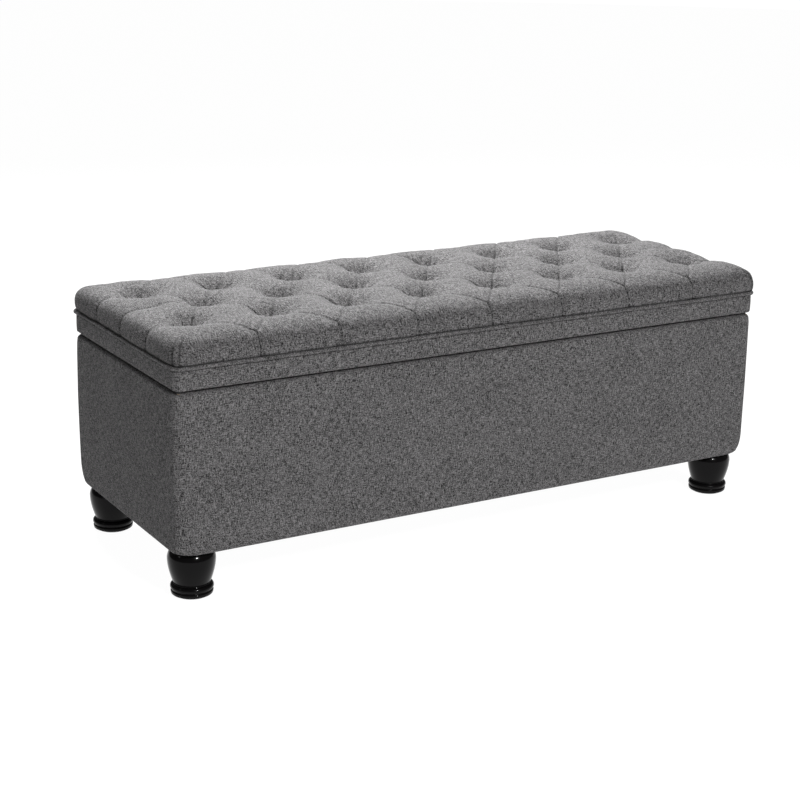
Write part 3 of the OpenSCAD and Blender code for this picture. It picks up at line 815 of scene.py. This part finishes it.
    def shape(self):
        """The cushion before it settles: pillows, valleys along the pleats and bowls at the tufts."""
        points = self.points.copy()
        normal = self.normals(points)
        rising = self.grid[:, 0] - self.grid[:, 1]
        falling = self.grid[:, 0] + self.grid[:, 1]
        pillow = np.abs(np.sin(math.pi / 2 * rising) * np.sin(math.pi / 2 * falling))
        inside = np.clip(1 - (np.abs(self.grid[:, 0]) - self.end) / 0.3, 0, 1)
        inside *= np.clip((2.05 - np.abs(self.grid[:, 1])) / 0.5, 0, 1)
        lift = self.PILLOW * pillow * inside
        fade = np.clip((1 - self.down) / 0.18, 0, 1)
        pull = np.maximum(self.pleat_pull, self.tuft_pull())
        lift -= self.VALLEY * pull * np.exp(-self.pleat_gap / 0.0085) * fade
        between_pleats = 1 - np.exp(-self.pleat_gap / 0.02)
        lift += self.SIDE_BELLY * np.sin(np.clip(self.down, 0, 1) * math.pi) * between_pleats
        past_end = np.clip((np.abs(self.grid[:, 0]) - self.end + 0.15) / 0.3, 0, 1)
        upper = np.clip(1 - 1.4 * self.down, 0, 1)
        lift -= self.END_HOLLOW * np.exp(-(self.pleat_gap / 0.024) ** 2) * past_end * upper
        points += normal * lift[:, None]
        bowl = 0.3 * np.exp(-(self.tuft_gap / self.settings.slope) ** 2)
        bowl += 0.7 * round_cone(self.tuft_gap / self.settings.bowl, 0.16)
        points[:, 2] += (self.settings.bottom - points[:, 2]) * bowl
        return points

    def detail(self, points):
        """Sharp folds, their raised lips, gathered rays round the tufts and small creases, and painted
        shade along the folds, the corner creases and the seam at the foot.
        """
        normal = self.normals(points)
        fade = np.clip((1 - self.down) / 0.12, 0, 1)
        grip = np.maximum(self.tuft_pull(), self.pleat_pull) * fade
        lip = np.exp(-((self.pleat_gap - 0.0034) / 0.0026) ** 2) * (self.pleat_side > 0)
        lift = self.LIP * grip * lip - self.FOLD * grip * self.on_pleat()
        rays = np.random.default_rng(7).uniform(0, 2 * math.pi, (len(self.tuft_places), 3))
        phase = rays[self.nearest_tuft]
        fan = np.sin(7 * self.tuft_turn + phase[:, 0]) + np.sin(11 * self.tuft_turn + phase[:, 1])
        reach = self.tuft_gap / 0.022
        lift += self.GATHERS * fan * reach * np.exp(1 - reach ** 1.3)
        ripple = waves(11, 14, 0.018, 0.05)(self.flat[:, 0], self.flat[:, 1])
        sway = waves(12, 10, 0.08, 0.2)(self.flat[:, 0], self.flat[:, 1])
        lift += (0.00022 * ripple + 0.0006 * sway) * fade
        # Painted shade along the sharp line of each fold.
        fold = grip * np.exp(-(self.pleat_gap / 0.0016) ** 2)
        corner, crease_shade = self.corner_folds()
        lift += corner
        points = points + normal * lift[:, None]
        fold = np.maximum(fold, crease_shade)
        # Painted shade in the seam behind the piping, under SHADE_FROM.
        seam_shade = np.clip((self.SHADE_FROM - points[:, 2]) / 0.002, 0, 1) * (self.down > 0.5)
        return points, np.maximum(fold, seam_shade)

    def corner_folds(self):
        """Two upright creases at each corner, with the tucked cloth between them standing proud, and
        painted shade along the two creases.
        """
        lift = np.zeros(len(self.points))
        crease_shade = np.zeros(len(self.points))
        ring_size = len(self.rim_index)
        top = math.prod(self.top_shape)
        corners = [0, 2 * self.nx, 2 * self.nx + 2 * self.ny, 4 * self.nx + 2 * self.ny]
        apart = self.cells // 16
        for row in range(1, self.rows + 1):
            share = row / self.rows
            fade = min(1.0, share / 0.25) * min(1.0, (1 - share) / 0.08 + 0.3)
            for corner in corners:
                for step in range(-apart, apart + 1):
                    at = top + (row - 1) * ring_size + (corner + step) % ring_size
                    if abs(step) == apart:
                        lift[at] -= 0.0019 * fade
                        # Painted shade along each crease.
                        crease_shade[at] = 0.8 * fade
                    else:
                        lift[at] += 0.0008 * fade
        return lift, crease_shade

    def refine(self, coarse, moved):
        """Carries the moves of a grid with half the cells over to this one."""
        nx, ny = coarse.top_shape
        top = double(double(moved[:nx * ny].reshape(nx, ny, 3), 0, False), 1, False)
        count = len(coarse.rim_index)
        skirt = np.concatenate([moved[coarse.rim_index][None],
                                moved[nx * ny:].reshape(coarse.rows, count, 3)])
        skirt = double(double(skirt, 1, True), 0, False)
        return np.concatenate([top.reshape(-1, 3), skirt[1:].reshape(-1, 3)])


def round_cone(share, blend):
    """A cone that is 1 in the middle and 0 beyond a share of 1, with a rounded lip."""
    lip = blend * np.logaddexp(0, (1 - share) / blend)
    return lip / (blend * math.log1p(math.exp(1 / blend)))


def double(values, axis, closed):
    """Adds a point between each pair along an axis, on a smooth curve through its neighbours."""
    values = np.moveaxis(values, axis, 0)
    if closed:
        padded = np.concatenate([values[-1:], values, values[:2]])
        count = len(values)
    else:
        padded = np.concatenate([values[:1], values, values[-1:]])
        count = len(values) - 1
    between = (9 * (padded[1:count + 1] + padded[2:count + 2]) - padded[:count] - padded[3:count + 3]) / 16
    result = np.zeros((len(values) + count, *values.shape[1:]))
    result[0::2] = values
    result[1::2] = between
    return np.moveaxis(result, 0, axis)


def settle(cushion, points, pressure, frames=16, most=0.005):
    """How far each point moves as cloth settles over the filling, held at the tufts, pleats and foot."""
    mesh = bpy.data.meshes.new("settling")
    bottom = tuple(reversed(cushion.last_ring.tolist()))
    mesh.from_pydata(points.tolist(), [], [*cushion.faces.tolist(), bottom])
    mesh.update()
    cloth = bpy.data.objects.new("settling", mesh)
    bpy.context.scene.collection.objects.link(cloth)
    held = cloth.vertex_groups.new(name="held")
    hold = np.exp(-(cushion.tuft_gap / 0.010) ** 2)
    hold = np.maximum(hold, 0.9 * cushion.on_pleat())
    hold = np.maximum(hold, np.clip((cushion.down - 0.75) / 0.15, 0, 1))
    for index, weight in enumerate(hold):
        if weight > 0.02:
            held.add([index], float(weight), "REPLACE")
    modifier = cloth.modifiers.new("Cloth", "CLOTH")
    sim = modifier.settings
    sim.quality = 5
    sim.mass = 0.25
    sim.tension_stiffness = sim.compression_stiffness = 12
    sim.shear_stiffness = 8
    sim.bending_stiffness = 0.6
    sim.vertex_group_mass = "held"
    sim.use_pressure = True
    sim.uniform_pressure_force = pressure
    sim.effector_weights.gravity = 0
    modifier.collision_settings.use_collision = False
    modifier.collision_settings.use_self_collision = False
    scene = bpy.context.scene
    for number in range(1, frames + 1):
        scene.frame_set(number)
    shown = cloth.evaluated_get(bpy.context.evaluated_depsgraph_get())
    result = np.zeros(len(points) * 3)
    shown.data.vertices.foreach_get("co", result)
    scene.frame_set(1)
    bpy.data.objects.remove(cloth)
    bpy.data.meshes.remove(mesh)
    moved = result.reshape(-1, 3) - points
    length = np.linalg.norm(moved, axis=1, keepdims=True)
    return moved * np.minimum(1, most / np.maximum(length, 1e-9))


def make_seat(settings, cloth):
    """The tufted cushion in one piece, cover and filling together."""
    fine = Cushion(settings, 32)
    points = fine.shape()
    coarse = Cushion(settings, 16)
    points = points + fine.refine(coarse, settle(coarse, coarse.shape(), settings.pressure))
    points[:, 2] += (CROWN - points[:, 2].max()) * np.clip((points[:, 2] - 0.41) / 0.03, 0, 1)
    points, fold = fine.detail(points)
    faces = [tuple(face) for face in fine.faces.tolist()]
    faces.append(tuple(reversed(fine.last_ring.tolist())))
    corners = np.concatenate([fine.faces.ravel(), fine.last_ring[::-1]])
    piece = make_piece("tufted_seat", points, faces, fine.flat[corners], cloth, "lid",
                       ("seat_cover", "seat_foam"), {"fold": fold})


def no_painted_fold_shade(points):
    """The painted fold shade of a piece without folds: none at any point."""
    return {"fold": np.zeros(len(points))}


def make_piping(cloth):
    """The welt at the foot of the cushion: a cloth-covered cord, a little uneven where it was sewn."""
    radius = (piping_high[2] - piping_low[2]) / 2
    middle = (piping_high[2] + piping_low[2]) / 2
    half_x, half_y = piping_high[0] - radius, piping_high[1] - radius
    path, way = ring(half_x, half_y, CORNER_R + 0.0014, (320, 112, 10))
    run = run_of(path)
    lump = waves(21, 9, 0.016, 0.07)(run[:-1], np.zeros(len(path)))
    sway = waves(22, 7, 0.05, 0.2)(run[:-1], np.zeros(len(path)))
    rings = []
    for turn in np.linspace(0, 2 * math.pi, 14, endpoint=False):
        thick = radius - 0.0003 + 0.00022 * lump
        out = thick * math.cos(turn) - 0.0002
        up = thick * math.sin(turn) + middle + 0.00022 * sway
        rings.append(np.column_stack([path + way * out[:, None], up]))
    points, faces, uv = wrap(rings, True)
    make_piece("piping_welt", points, faces, uv, cloth, "lid", ("piping",), no_painted_fold_shade(points))


# ---- the case and the band of the lid ----

def covered_walls(levels, cells, swell, seed):
    """Rings of a padded wall, from its top to its bottom.

    A level is its inset from the outside, its height and what is added to the corner radius."""
    rings = []
    heights = [z for _, z, _ in levels]
    low, high = min(heights), max(heights)
    slow = waves(seed, 12, 0.12, 0.5)
    small = waves(seed + 1, 12, 0.03, 0.09)
    start, _ = ring(HALF_L, HALF_D, CORNER_R, cells)
    run = run_of(start)[:-1]
    for inset, z, extra in levels:
        points, way = ring(HALF_L - inset, HALF_D - inset, max(CORNER_R + extra - inset, 0.002), cells)
        share = (z - low) / (high - low)
        hump = math.sin(math.pi * share)
        on_face = inset < 0.002
        flatness = 0.5 + 0.5 * np.abs(way).max(1) ** 8
        belly = swell * hump ** 0.7 * flatness * on_face
        soft = hump ** 0.4 if on_face else 0.15
        amount = belly + soft * (0.0005 * slow(run, z) + 0.00016 * small(run, z))
        rings.append(np.column_stack([points + way * amount[:, None], np.full(len(points), z)]))
    return rings


def rounding(inset, z, radius, start, end, steps):
    """Levels round an edge: from angle start to end, in degrees, about a centre."""
    turn = np.radians(np.linspace(start, end, steps + 1))
    return [(inset - radius * math.cos(t), z + radius * math.sin(t)) for t in turn]


def make_case(settings, cloth):
    """The case cover with its padding, over the panels, turned in at the top and under the bottom."""
    low, high = case_low[2], case_high[2]
    rise, cut, edge = settings.corner_rise, settings.corner_cut, settings.edge

    def extra(z):
        up = min(max((z - low) / rise, 0), 1)
        down = min(max((high - z) / 0.018, 0), 1)
        return cut * (1 - math.sqrt(1 - (1 - up) ** 2)) + 0.012 * (1 - math.sqrt(1 - (1 - down) ** 2))

    top_r = 0.0065
    inner_edge = HALF_L - lining_high[0]
    turn_in = 0.030
    outline = [(inner_edge, high - CLOTH - 0.0002), (inner_edge - 0.0004, high - 0.0001), (0.012, high)]
    outline += rounding(top_r, high - top_r, top_r, 90, 0, 6)
    side_top, side_low = high - top_r, low + edge
    steps = 34
    outline += [(0.0, side_top + (side_low - side_top) * k / steps) for k in range(1, steps)]
    outline += rounding(edge, low + edge, edge, 0, -90, 6)
    outline += [(0.016, low + 0.0001), (turn_in - CLOTH, low + 0.0001), (turn_in, low + 0.0006)]
    levels = [(inset, z, extra(z)) for inset, z in outline]
    inner = [(turn_in, low + CLOTH), (WOOD_INSET + 0.001, low + CLOTH + 0.0001),
             (WOOD_INSET, low + 0.045), (WOOD_INSET, high - 0.02), (WOOD_INSET, high - CLOTH - 0.0002)]
    cells = (160, 60, 8)
    rings = covered_walls(levels, cells, settings.bulge, 31)
    for inset, z in inner:
        wide = max(CORNER_R + extra(z) - inset, 0.006)
        rings.append(ring_at(HALF_L - inset, HALF_D - inset, wide, cells, z))
    points, faces, uv = wrap(rings, True)
    piece = make_piece("case_upholstery", points, [f[::-1] for f in faces], flipped(uv), cloth, "case",
                       ("case_cover", "case_padding"), no_painted_fold_shade(points))


def make_band(settings, cloth):
    """The plain cloth band round the edge of the lid."""
    low, high = band_low[2], band_high[2]
    top_r, edge = 0.0034, 0.0028
    under = HALF_L - lid_lining_high[0]
    outline = [(0.0058, high - 0.0004)]
    outline += rounding(top_r, high - top_r, top_r, 90, 0, 4)
    steps = 10
    outline += [(0.0, high - top_r + (low + edge - high + top_r) * k / steps) for k in range(1, steps)]
    outline += rounding(edge, low + edge, edge, 0, -90, 5)
    outline += [(0.014, low + 0.0001), (under - 0.0006, low + 0.0001), (under, low + 0.0006)]
    levels = [(inset, z, 0.0) for inset, z in outline]
    inner = [(under, low + CLOTH), (WOOD_INSET + 0.0006, low + CLOTH), (WOOD_INSET, low + 0.003),
             (WOOD_INSET, high - 0.002)]
    cells = (200, 72, 8)
    rings = covered_walls(levels, cells, settings.bulge * 0.3, 41)
    for inset, z in inner:
        rings.append(ring_at(HALF_L - inset, HALF_D - inset, 0.008, cells, z))
    points, faces, uv = wrap(rings, True)
    piece = make_piece("lid_band", points, [f[::-1] for f in faces], flipped(uv), cloth, "lid",
                       ("lid_band_cover", "lid_band_padding"), no_painted_fold_shade(points))


# ---- linings ----

def make_well_lining(cloth):
    """The lining of the well: up the walls, over the floor, with soft bends between them."""
    floor, top = lining_low[2], lining_high[2] - 0.0002
    half_x, half_y = lining_high[0], lining_high[1]
    bend = 0.010
    cells = (120, 44, 5)
    turns = np.radians(np.linspace(0, -90, 6))
    inner = [(CLOTH, top)] + [(CLOTH, top + (floor + bend + CLOTH - top) * k / 12) for k in range(1, 12)]
    inner += [(CLOTH + bend - bend * math.cos(t), floor + CLOTH + bend + bend * math.sin(t)) for t in turns]
    steps = 14
    last = half_y - 0.012
    inner += [(CLOTH + bend + (last - bend) * k / steps, floor + CLOTH) for k in range(1, steps)]
    thick = 0.0009
    outer = [(inset - thick, z - (thick if inset > CLOTH + 1e-6 else 0)) for inset, z in inner]
    outer[0] = (0, top)
    slow = waves(51, 12, 0.06, 0.3)
    rings = []
    for row, (inset, z) in enumerate([*outer[::-1], *inner]):
        radius = max(0.012 - inset, 0.003) if z > floor + bend else 0.003
        points, _ = ring(half_x - inset, half_y - inset, radius, cells)
        on_floor = inset > 0.02
        lift = 0.0006 * slow(points[:, 0], points[:, 1]) + 0.0007 if on_floor else np.zeros(len(points))
        rings.append(np.column_stack([points, z + lift]))
    points, faces, uv = wrap(rings, False)
    count = len(rings[0])
    cap(faces, uv, points, 0, count, False)
    cap(faces, uv, points, len(points) - count, count, True)
    piece = make_piece("well_lining", points, faces, uv, cloth, "case", ("case_lining",))
    depth, length, width = top - floor, 2 * half_x, 2 * half_y
    area = length * width + 2 * depth * (length + width)
    length + 2 * depth
    width + 2 * depth


def make_flat_lining(name, low, high, node, body, sag, seed, cloth):
    """A thin lining stapled flat under something, hanging down by sag in its middle."""
    cells_x, cells_y = 72, 30
    x = np.linspace(low[0], high[0], cells_x + 1)
    y = np.linspace(low[1], high[1], cells_y + 1)
    gx, gy = np.meshgrid(x, y, indexing="ij")
    belly = (1 - (gx / high[0]) ** 4) * (1 - (gy / high[1]) ** 2)
    uneven = waves(seed, 10, 0.08, 0.4)(gx, gy)
    drop = belly * sag * (1 + 0.25 * uneven)
    layers = [np.stack([gx, gy, z - drop], -1).reshape(-1, 3) for z in (high[2], low[2])]
    index = np.arange(gx.size).reshape(gx.shape)
    quads = grid_quads(index)
    faces = [tuple(q) for q in quads.tolist()] + [tuple(q[::-1]) for q in (quads + gx.size).tolist()]
    rim = around_grid(index)
    after = np.roll(rim, -1)
    faces += [tuple(q) for q in np.stack([rim + gx.size, after + gx.size, after, rim], 1).tolist()]
    points = np.concatenate(layers)
    uv = [tuple(points[i][:2]) for face in faces for i in face]
    piece = make_piece(name, points, faces, uv, cloth, body, (node,))


# ---- feet ----

def foot_outline():
    """Radius and height of the foot's turning, from its underside to its top."""
    ring_r, bead_r, neck_r, belly_r = 0.036, 0.0055, 0.0305, 0.040
    sole_r, arris_r = 0.0030, 0.0014
    base, base_top = foot_low[2], foot_low[2] + 0.007
    bead_z = base_top + bead_r + 0.0005
    neck_z, belly_z, top = bead_z + bead_r, foot_low[2] + 0.062, foot_high[2]
    line = [(0.004, base), (ring_r - 0.0060, base)]
    line += [(ring_r - 0.0040 + sole_r * math.sin(t), base + sole_r - sole_r * math.cos(t))
             for t in np.linspace(0, math.pi / 2, 6)]
    line += [(ring_r - 0.0008, base + 0.0045)]
    line += [(ring_r - 0.0022 + arris_r * math.cos(t), base_top - arris_r + arris_r * math.sin(t))
             for t in np.linspace(0, math.pi / 2, 5)]
    line += [(ring_r - bead_r + bead_r * math.cos(t), bead_z + bead_r * math.sin(t))
             for t in np.radians(np.linspace(-62, 80, 15))]
    for z in np.linspace(neck_z, top - 0.001, 40):
        if z < belly_z:
            share = (z - neck_z) / (belly_z - neck_z)
            line.append((neck_r + (belly_r - neck_r) * math.sin(math.pi / 2 * share), z))
        else:
            share = (z - belly_z) / (top - belly_z)
            line.append((belly_r - 0.008 * share ** 2, z))
    line += [(belly_r - 0.0088, top), (0.0045, top)]
    return np.array(line)


def make_foot(name, lacquer):
    """One foot, turned round its own axis."""
    low, high = extent(name)
    centre = (low + high) / 2
    outline = foot_outline()
    around = 96
    turn = np.linspace(0, 2 * math.pi, around, endpoint=False)
    way = np.stack([np.cos(turn), np.sin(turn)], 1)
    rings = [np.column_stack([centre[:2] + r * way, np.full(around, z)]) for r, z in outline]
    points, faces, uv = wrap(rings, False)
    cap(faces, uv, points, 0, around, False)
    cap(faces, uv, points, len(points) - around, around, True)
    faces = [face[::-1] for face in faces]
    loops = np.split(np.asarray(uv), np.cumsum([len(face) for face in faces])[:-1])
    uv = np.concatenate([part[::-1] for part in loops])
    make_piece("turned_" + name, points, faces, uv, lacquer, "case", (name,))


# ---- stage ----

def aim(location, azimuth, elevation, roll):
    """A camera's matrix from where it stands and how it is turned, in degrees."""
    a, e, r = (math.radians(angle) for angle in (azimuth, elevation, roll))
    back = Vector((math.sin(a) * math.cos(e), -math.cos(a) * math.cos(e), math.sin(e)))
    level = Vector((math.cos(a), math.sin(a), 0))
    above = back.cross(level)
    right = level * math.cos(r) + above * math.sin(r)
    turned = Matrix((right, back.cross(right), back)).transposed().to_4x4()
    return Matrix.Translation(Vector(location)) @ turned


def soft_light(name, place, target, width, height, watts):
    """A large rectangular studio light."""
    light = bpy.data.lights.new(name, "AREA")
    light.shape = "RECTANGLE"
    light.size, light.size_y = width, height
    light.energy = watts
    lamp = bpy.data.objects.new(name, light)
    bpy.context.scene.collection.objects.link(lamp)
    lamp.location = place
    lamp.rotation_euler = (Vector(target) - Vector(place)).to_track_quat("-Z", "Y").to_euler()


def pale_floor():
    """A pale, faintly glowing sheet, as a lit acrylic table."""
    pale = Finish("pale_floor", Specular_IOR_Level=0.0, Roughness=0.9, Emission_Strength=0.98)
    grain = pale.noise(pale.object_place(), 3, 2)
    pale.feed(Base_Color=pale.mix(grain, (0.060, 0.060, 0.060, 1), (0.064, 0.064, 0.064, 1)))
    pale.shader.inputs["Emission Color"].default_value = (1, 1, 1, 1)
    return pale.material


def make_floor():
    """A wide round floor, which meets the white surroundings."""
    around, reach = 96, 14.0
    turn = np.linspace(0, 2 * math.pi, around, endpoint=False)
    mesh = bpy.data.meshes.new("floor")
    rim = [(reach * math.cos(t), reach * math.sin(t), 0.0) for t in turn]
    mesh.from_pydata(rim, [], [tuple(range(around))])
    mesh.materials.append(pale_floor())
    floor = bpy.data.objects.new("floor", mesh)
    bpy.context.scene.collection.objects.link(floor)


def white_surroundings():
    """White all round for the eye, and a weaker soft light on the bench."""
    world = bpy.data.worlds.new("surroundings")
    bpy.context.scene.world = world
    sky = Nodes(world)
    white = (1, 1, 1, 1)
    seen = sky.node("Background", None, {"Color": white, "Strength": 1.05})
    fill = sky.node("Background", None, {"Color": white, "Strength": 0.11})
    for_eye = sky.node("LightPath", None, None, "Is Camera Ray")
    both = sky.node("MixShader", None, {0: for_eye, 1: fill, 2: seen})
    sky.put(sky.tree.nodes["World Output"].inputs["Surface"], both)


# ---- operators ----

class BENCH_OT_stage(bpy.types.Operator):
    """Set up the floor, the soft lights and the camera"""
    bl_idname = "bench.stage"
    bl_label = "Stage"

    def execute(self, context):
        stage = context.scene.bench.stage
        data = bpy.data.cameras.new("camera")
        data.lens, data.sensor_width = stage.lens, 36
        camera = bpy.data.objects.new("camera", data)
        context.scene.collection.objects.link(camera)
        camera.matrix_world = aim(stage.place, stage.azimuth, stage.elevation, stage.roll)
        context.scene.camera = camera
        context.scene.view_settings.view_transform = "Standard"
        make_floor()
        white_surroundings()
        middle = (0, 0, 0.35)
        soft_light("overhead", (0.35, 1.75, 2.35), (0.0, 0.0, 0.42), 1.8, 0.9, stage.overhead)
        soft_light("front", (-0.25, -3.25, 2.2), middle, 0.3, 0.3, stage.front)
        soft_light("side", (-3.3, -0.1, 1.8), middle, 0.25, 0.25, stage.side)
        return {"FINISHED"}


class BENCH_OT_seat(bpy.types.Operator):
    """Make the deep-tufted cushion of the lid"""
    bl_idname = "bench.seat"
    bl_label = "Tufted seat"

    def execute(self, context):
        bench = context.scene.bench
        make_seat(bench.seat, shared_cloth(bench))
        return {"FINISHED"}


class BENCH_OT_piping(bpy.types.Operator):
    """Make the piping round the foot of the cushion"""
    bl_idname = "bench.piping"
    bl_label = "Piping"

    def execute(self, context):
        make_piping(cover_cloth(context.scene.bench.cloth, bias=True))
        return {"FINISHED"}


class BENCH_OT_case(bpy.types.Operator):
    """Cover the case and the band of the lid"""
    bl_idname = "bench.case"
    bl_label = "Case and band"

    def execute(self, context):
        bench = context.scene.bench
        make_case(bench.case, shared_cloth(bench))
        make_band(bench.case, shared_cloth(bench))
        return {"FINISHED"}


class BENCH_OT_linings(bpy.types.Operator):
    """Line the well, the lid and the underside of the case"""
    bl_idname = "bench.linings"
    bl_label = "Linings"

    def execute(self, context):
        cloth = lining_cloth()
        make_well_lining(cloth)
        make_flat_lining("lid_underlining", lid_lining_low, lid_lining_high, "lid_lining", "lid", 0.0, 61,
                         cloth)
        make_flat_lining("dust_cloth", dust_low, dust_high, "dust_cover", "case", 0.004, 62, cloth)
        return {"FINISHED"}


class BENCH_OT_feet(bpy.types.Operator):
    """Turn and lacquer the four feet"""
    bl_idname = "bench.feet"
    bl_label = "Feet"

    def execute(self, context):
        lacquer = black_lacquer(context.scene.bench.feet)
        for name in ("front_left_foot", "front_right_foot", "back_left_foot", "back_right_foot"):
            make_foot(name, lacquer)
        return {"FINISHED"}


class BENCH_OT_woodwork(bpy.types.Operator):
    """Finish the boards, the rails and the battens"""
    bl_idname = "bench.woodwork"
    bl_label = "Woodwork"

    def execute(self, context):
        finish_nodes(particle_board(), "front_panel", "back_panel", "left_end_panel", "right_end_panel",
                     "floor_panel", "lid_board")
        finish_nodes(pine(), "front_floor_batten", "back_floor_batten", "end_floor_battens",
                     "cross_floor_battens", "corner_blocks", "front_lid_rail", "back_lid_rail",
                     "left_lid_rail", "right_lid_rail", "lid_cross_rails")
        finish_nodes(upholstery_foam(), "case_padding", "lid_band_padding", "seat_foam")
        return {"FINISHED"}


class BENCH_OT_fittings(bpy.types.Operator):
    """Finish the hinges, the lid stays, the screws and the small rubber parts"""
    bl_idname = "bench.fittings"
    bl_label = "Fittings"

    def execute(self, context):
        sides = ("left", "right")
        plates = [f"{side}_stay_{part}" for side in sides
                  for part in ("case_bracket", "lid_bracket", "lower_arm", "upper_arm", "elbow_rivet")]
        finish_nodes(zinc_plate("zinc_steel", (0.66, 0.66, 0.67)), *plates, "hinge_case_leaves",
                     "hinge_lid_leaves", "hinge_pins", "stay_case_rivets", "stay_lid_rivets")
        finish_nodes(zinc_plate("screw_steel", (0.56, 0.56, 0.58), (1200, 1200, 120)), "case_screws",
                     "hinge_case_screws", "hinge_lid_screws", "stay_case_screws", "stay_lid_screws",
                     "foot_bolts", "foot_tee_nuts")
        finish_nodes(black_rubber(), "foot_glides", "lid_bumpers", "tuft_anchors")
        finish_nodes(waxed_cord(), "tuft_cords")
        return {"FINISHED"}


def shared_cloth(bench):
    """The one cover cloth, made the first time that it is asked for."""
    return bpy.data.materials.get("heathered_cloth") or cover_cloth(bench.cloth)


STEPS = (BENCH_OT_stage, BENCH_OT_case, BENCH_OT_seat, BENCH_OT_piping, BENCH_OT_linings, BENCH_OT_feet,
         BENCH_OT_woodwork, BENCH_OT_fittings)


class BENCH_PT_sidebar(bpy.types.Panel):
    """The steps that make the bench, and its settings"""
    bl_idname = "BENCH_PT_sidebar"
    bl_label = "Storage Bench"
    bl_space_type = "VIEW_3D"
    bl_region_type = "UI"
    bl_category = "Bench"

    def draw(self, context):
        bench = context.scene.bench
        for step in STEPS:
            self.layout.operator(step.bl_idname)
        for group in (bench.cloth, bench.seat, bench.case, bench.feet, bench.stage):
            column = self.layout.box().column()
            for name in group.bl_rna.properties.keys():
                if name not in ("rna_type", "name"):
                    column.prop(group, name)


CLASSES = (BenchCloth, BenchSeat, BenchCase, BenchFeet, BenchStage, BenchSettings, *STEPS, BENCH_PT_sidebar)


def register():
    for kind in CLASSES:
        bpy.utils.register_class(kind)
    bpy.types.Scene.bench = PointerProperty(type=BenchSettings)


def unregister():
    del bpy.types.Scene.bench
    for kind in reversed(CLASSES):
        bpy.utils.unregister_class(kind)


def main():
    register()
    bpy.ops.bench.stage()
    bpy.ops.bench.case()
    bpy.ops.bench.seat()
    bpy.ops.bench.piping()
    bpy.ops.bench.linings()
    bpy.ops.bench.feet()
    bpy.ops.bench.woodwork()
    bpy.ops.bench.fittings()


if __name__ == "__main__":
    main()
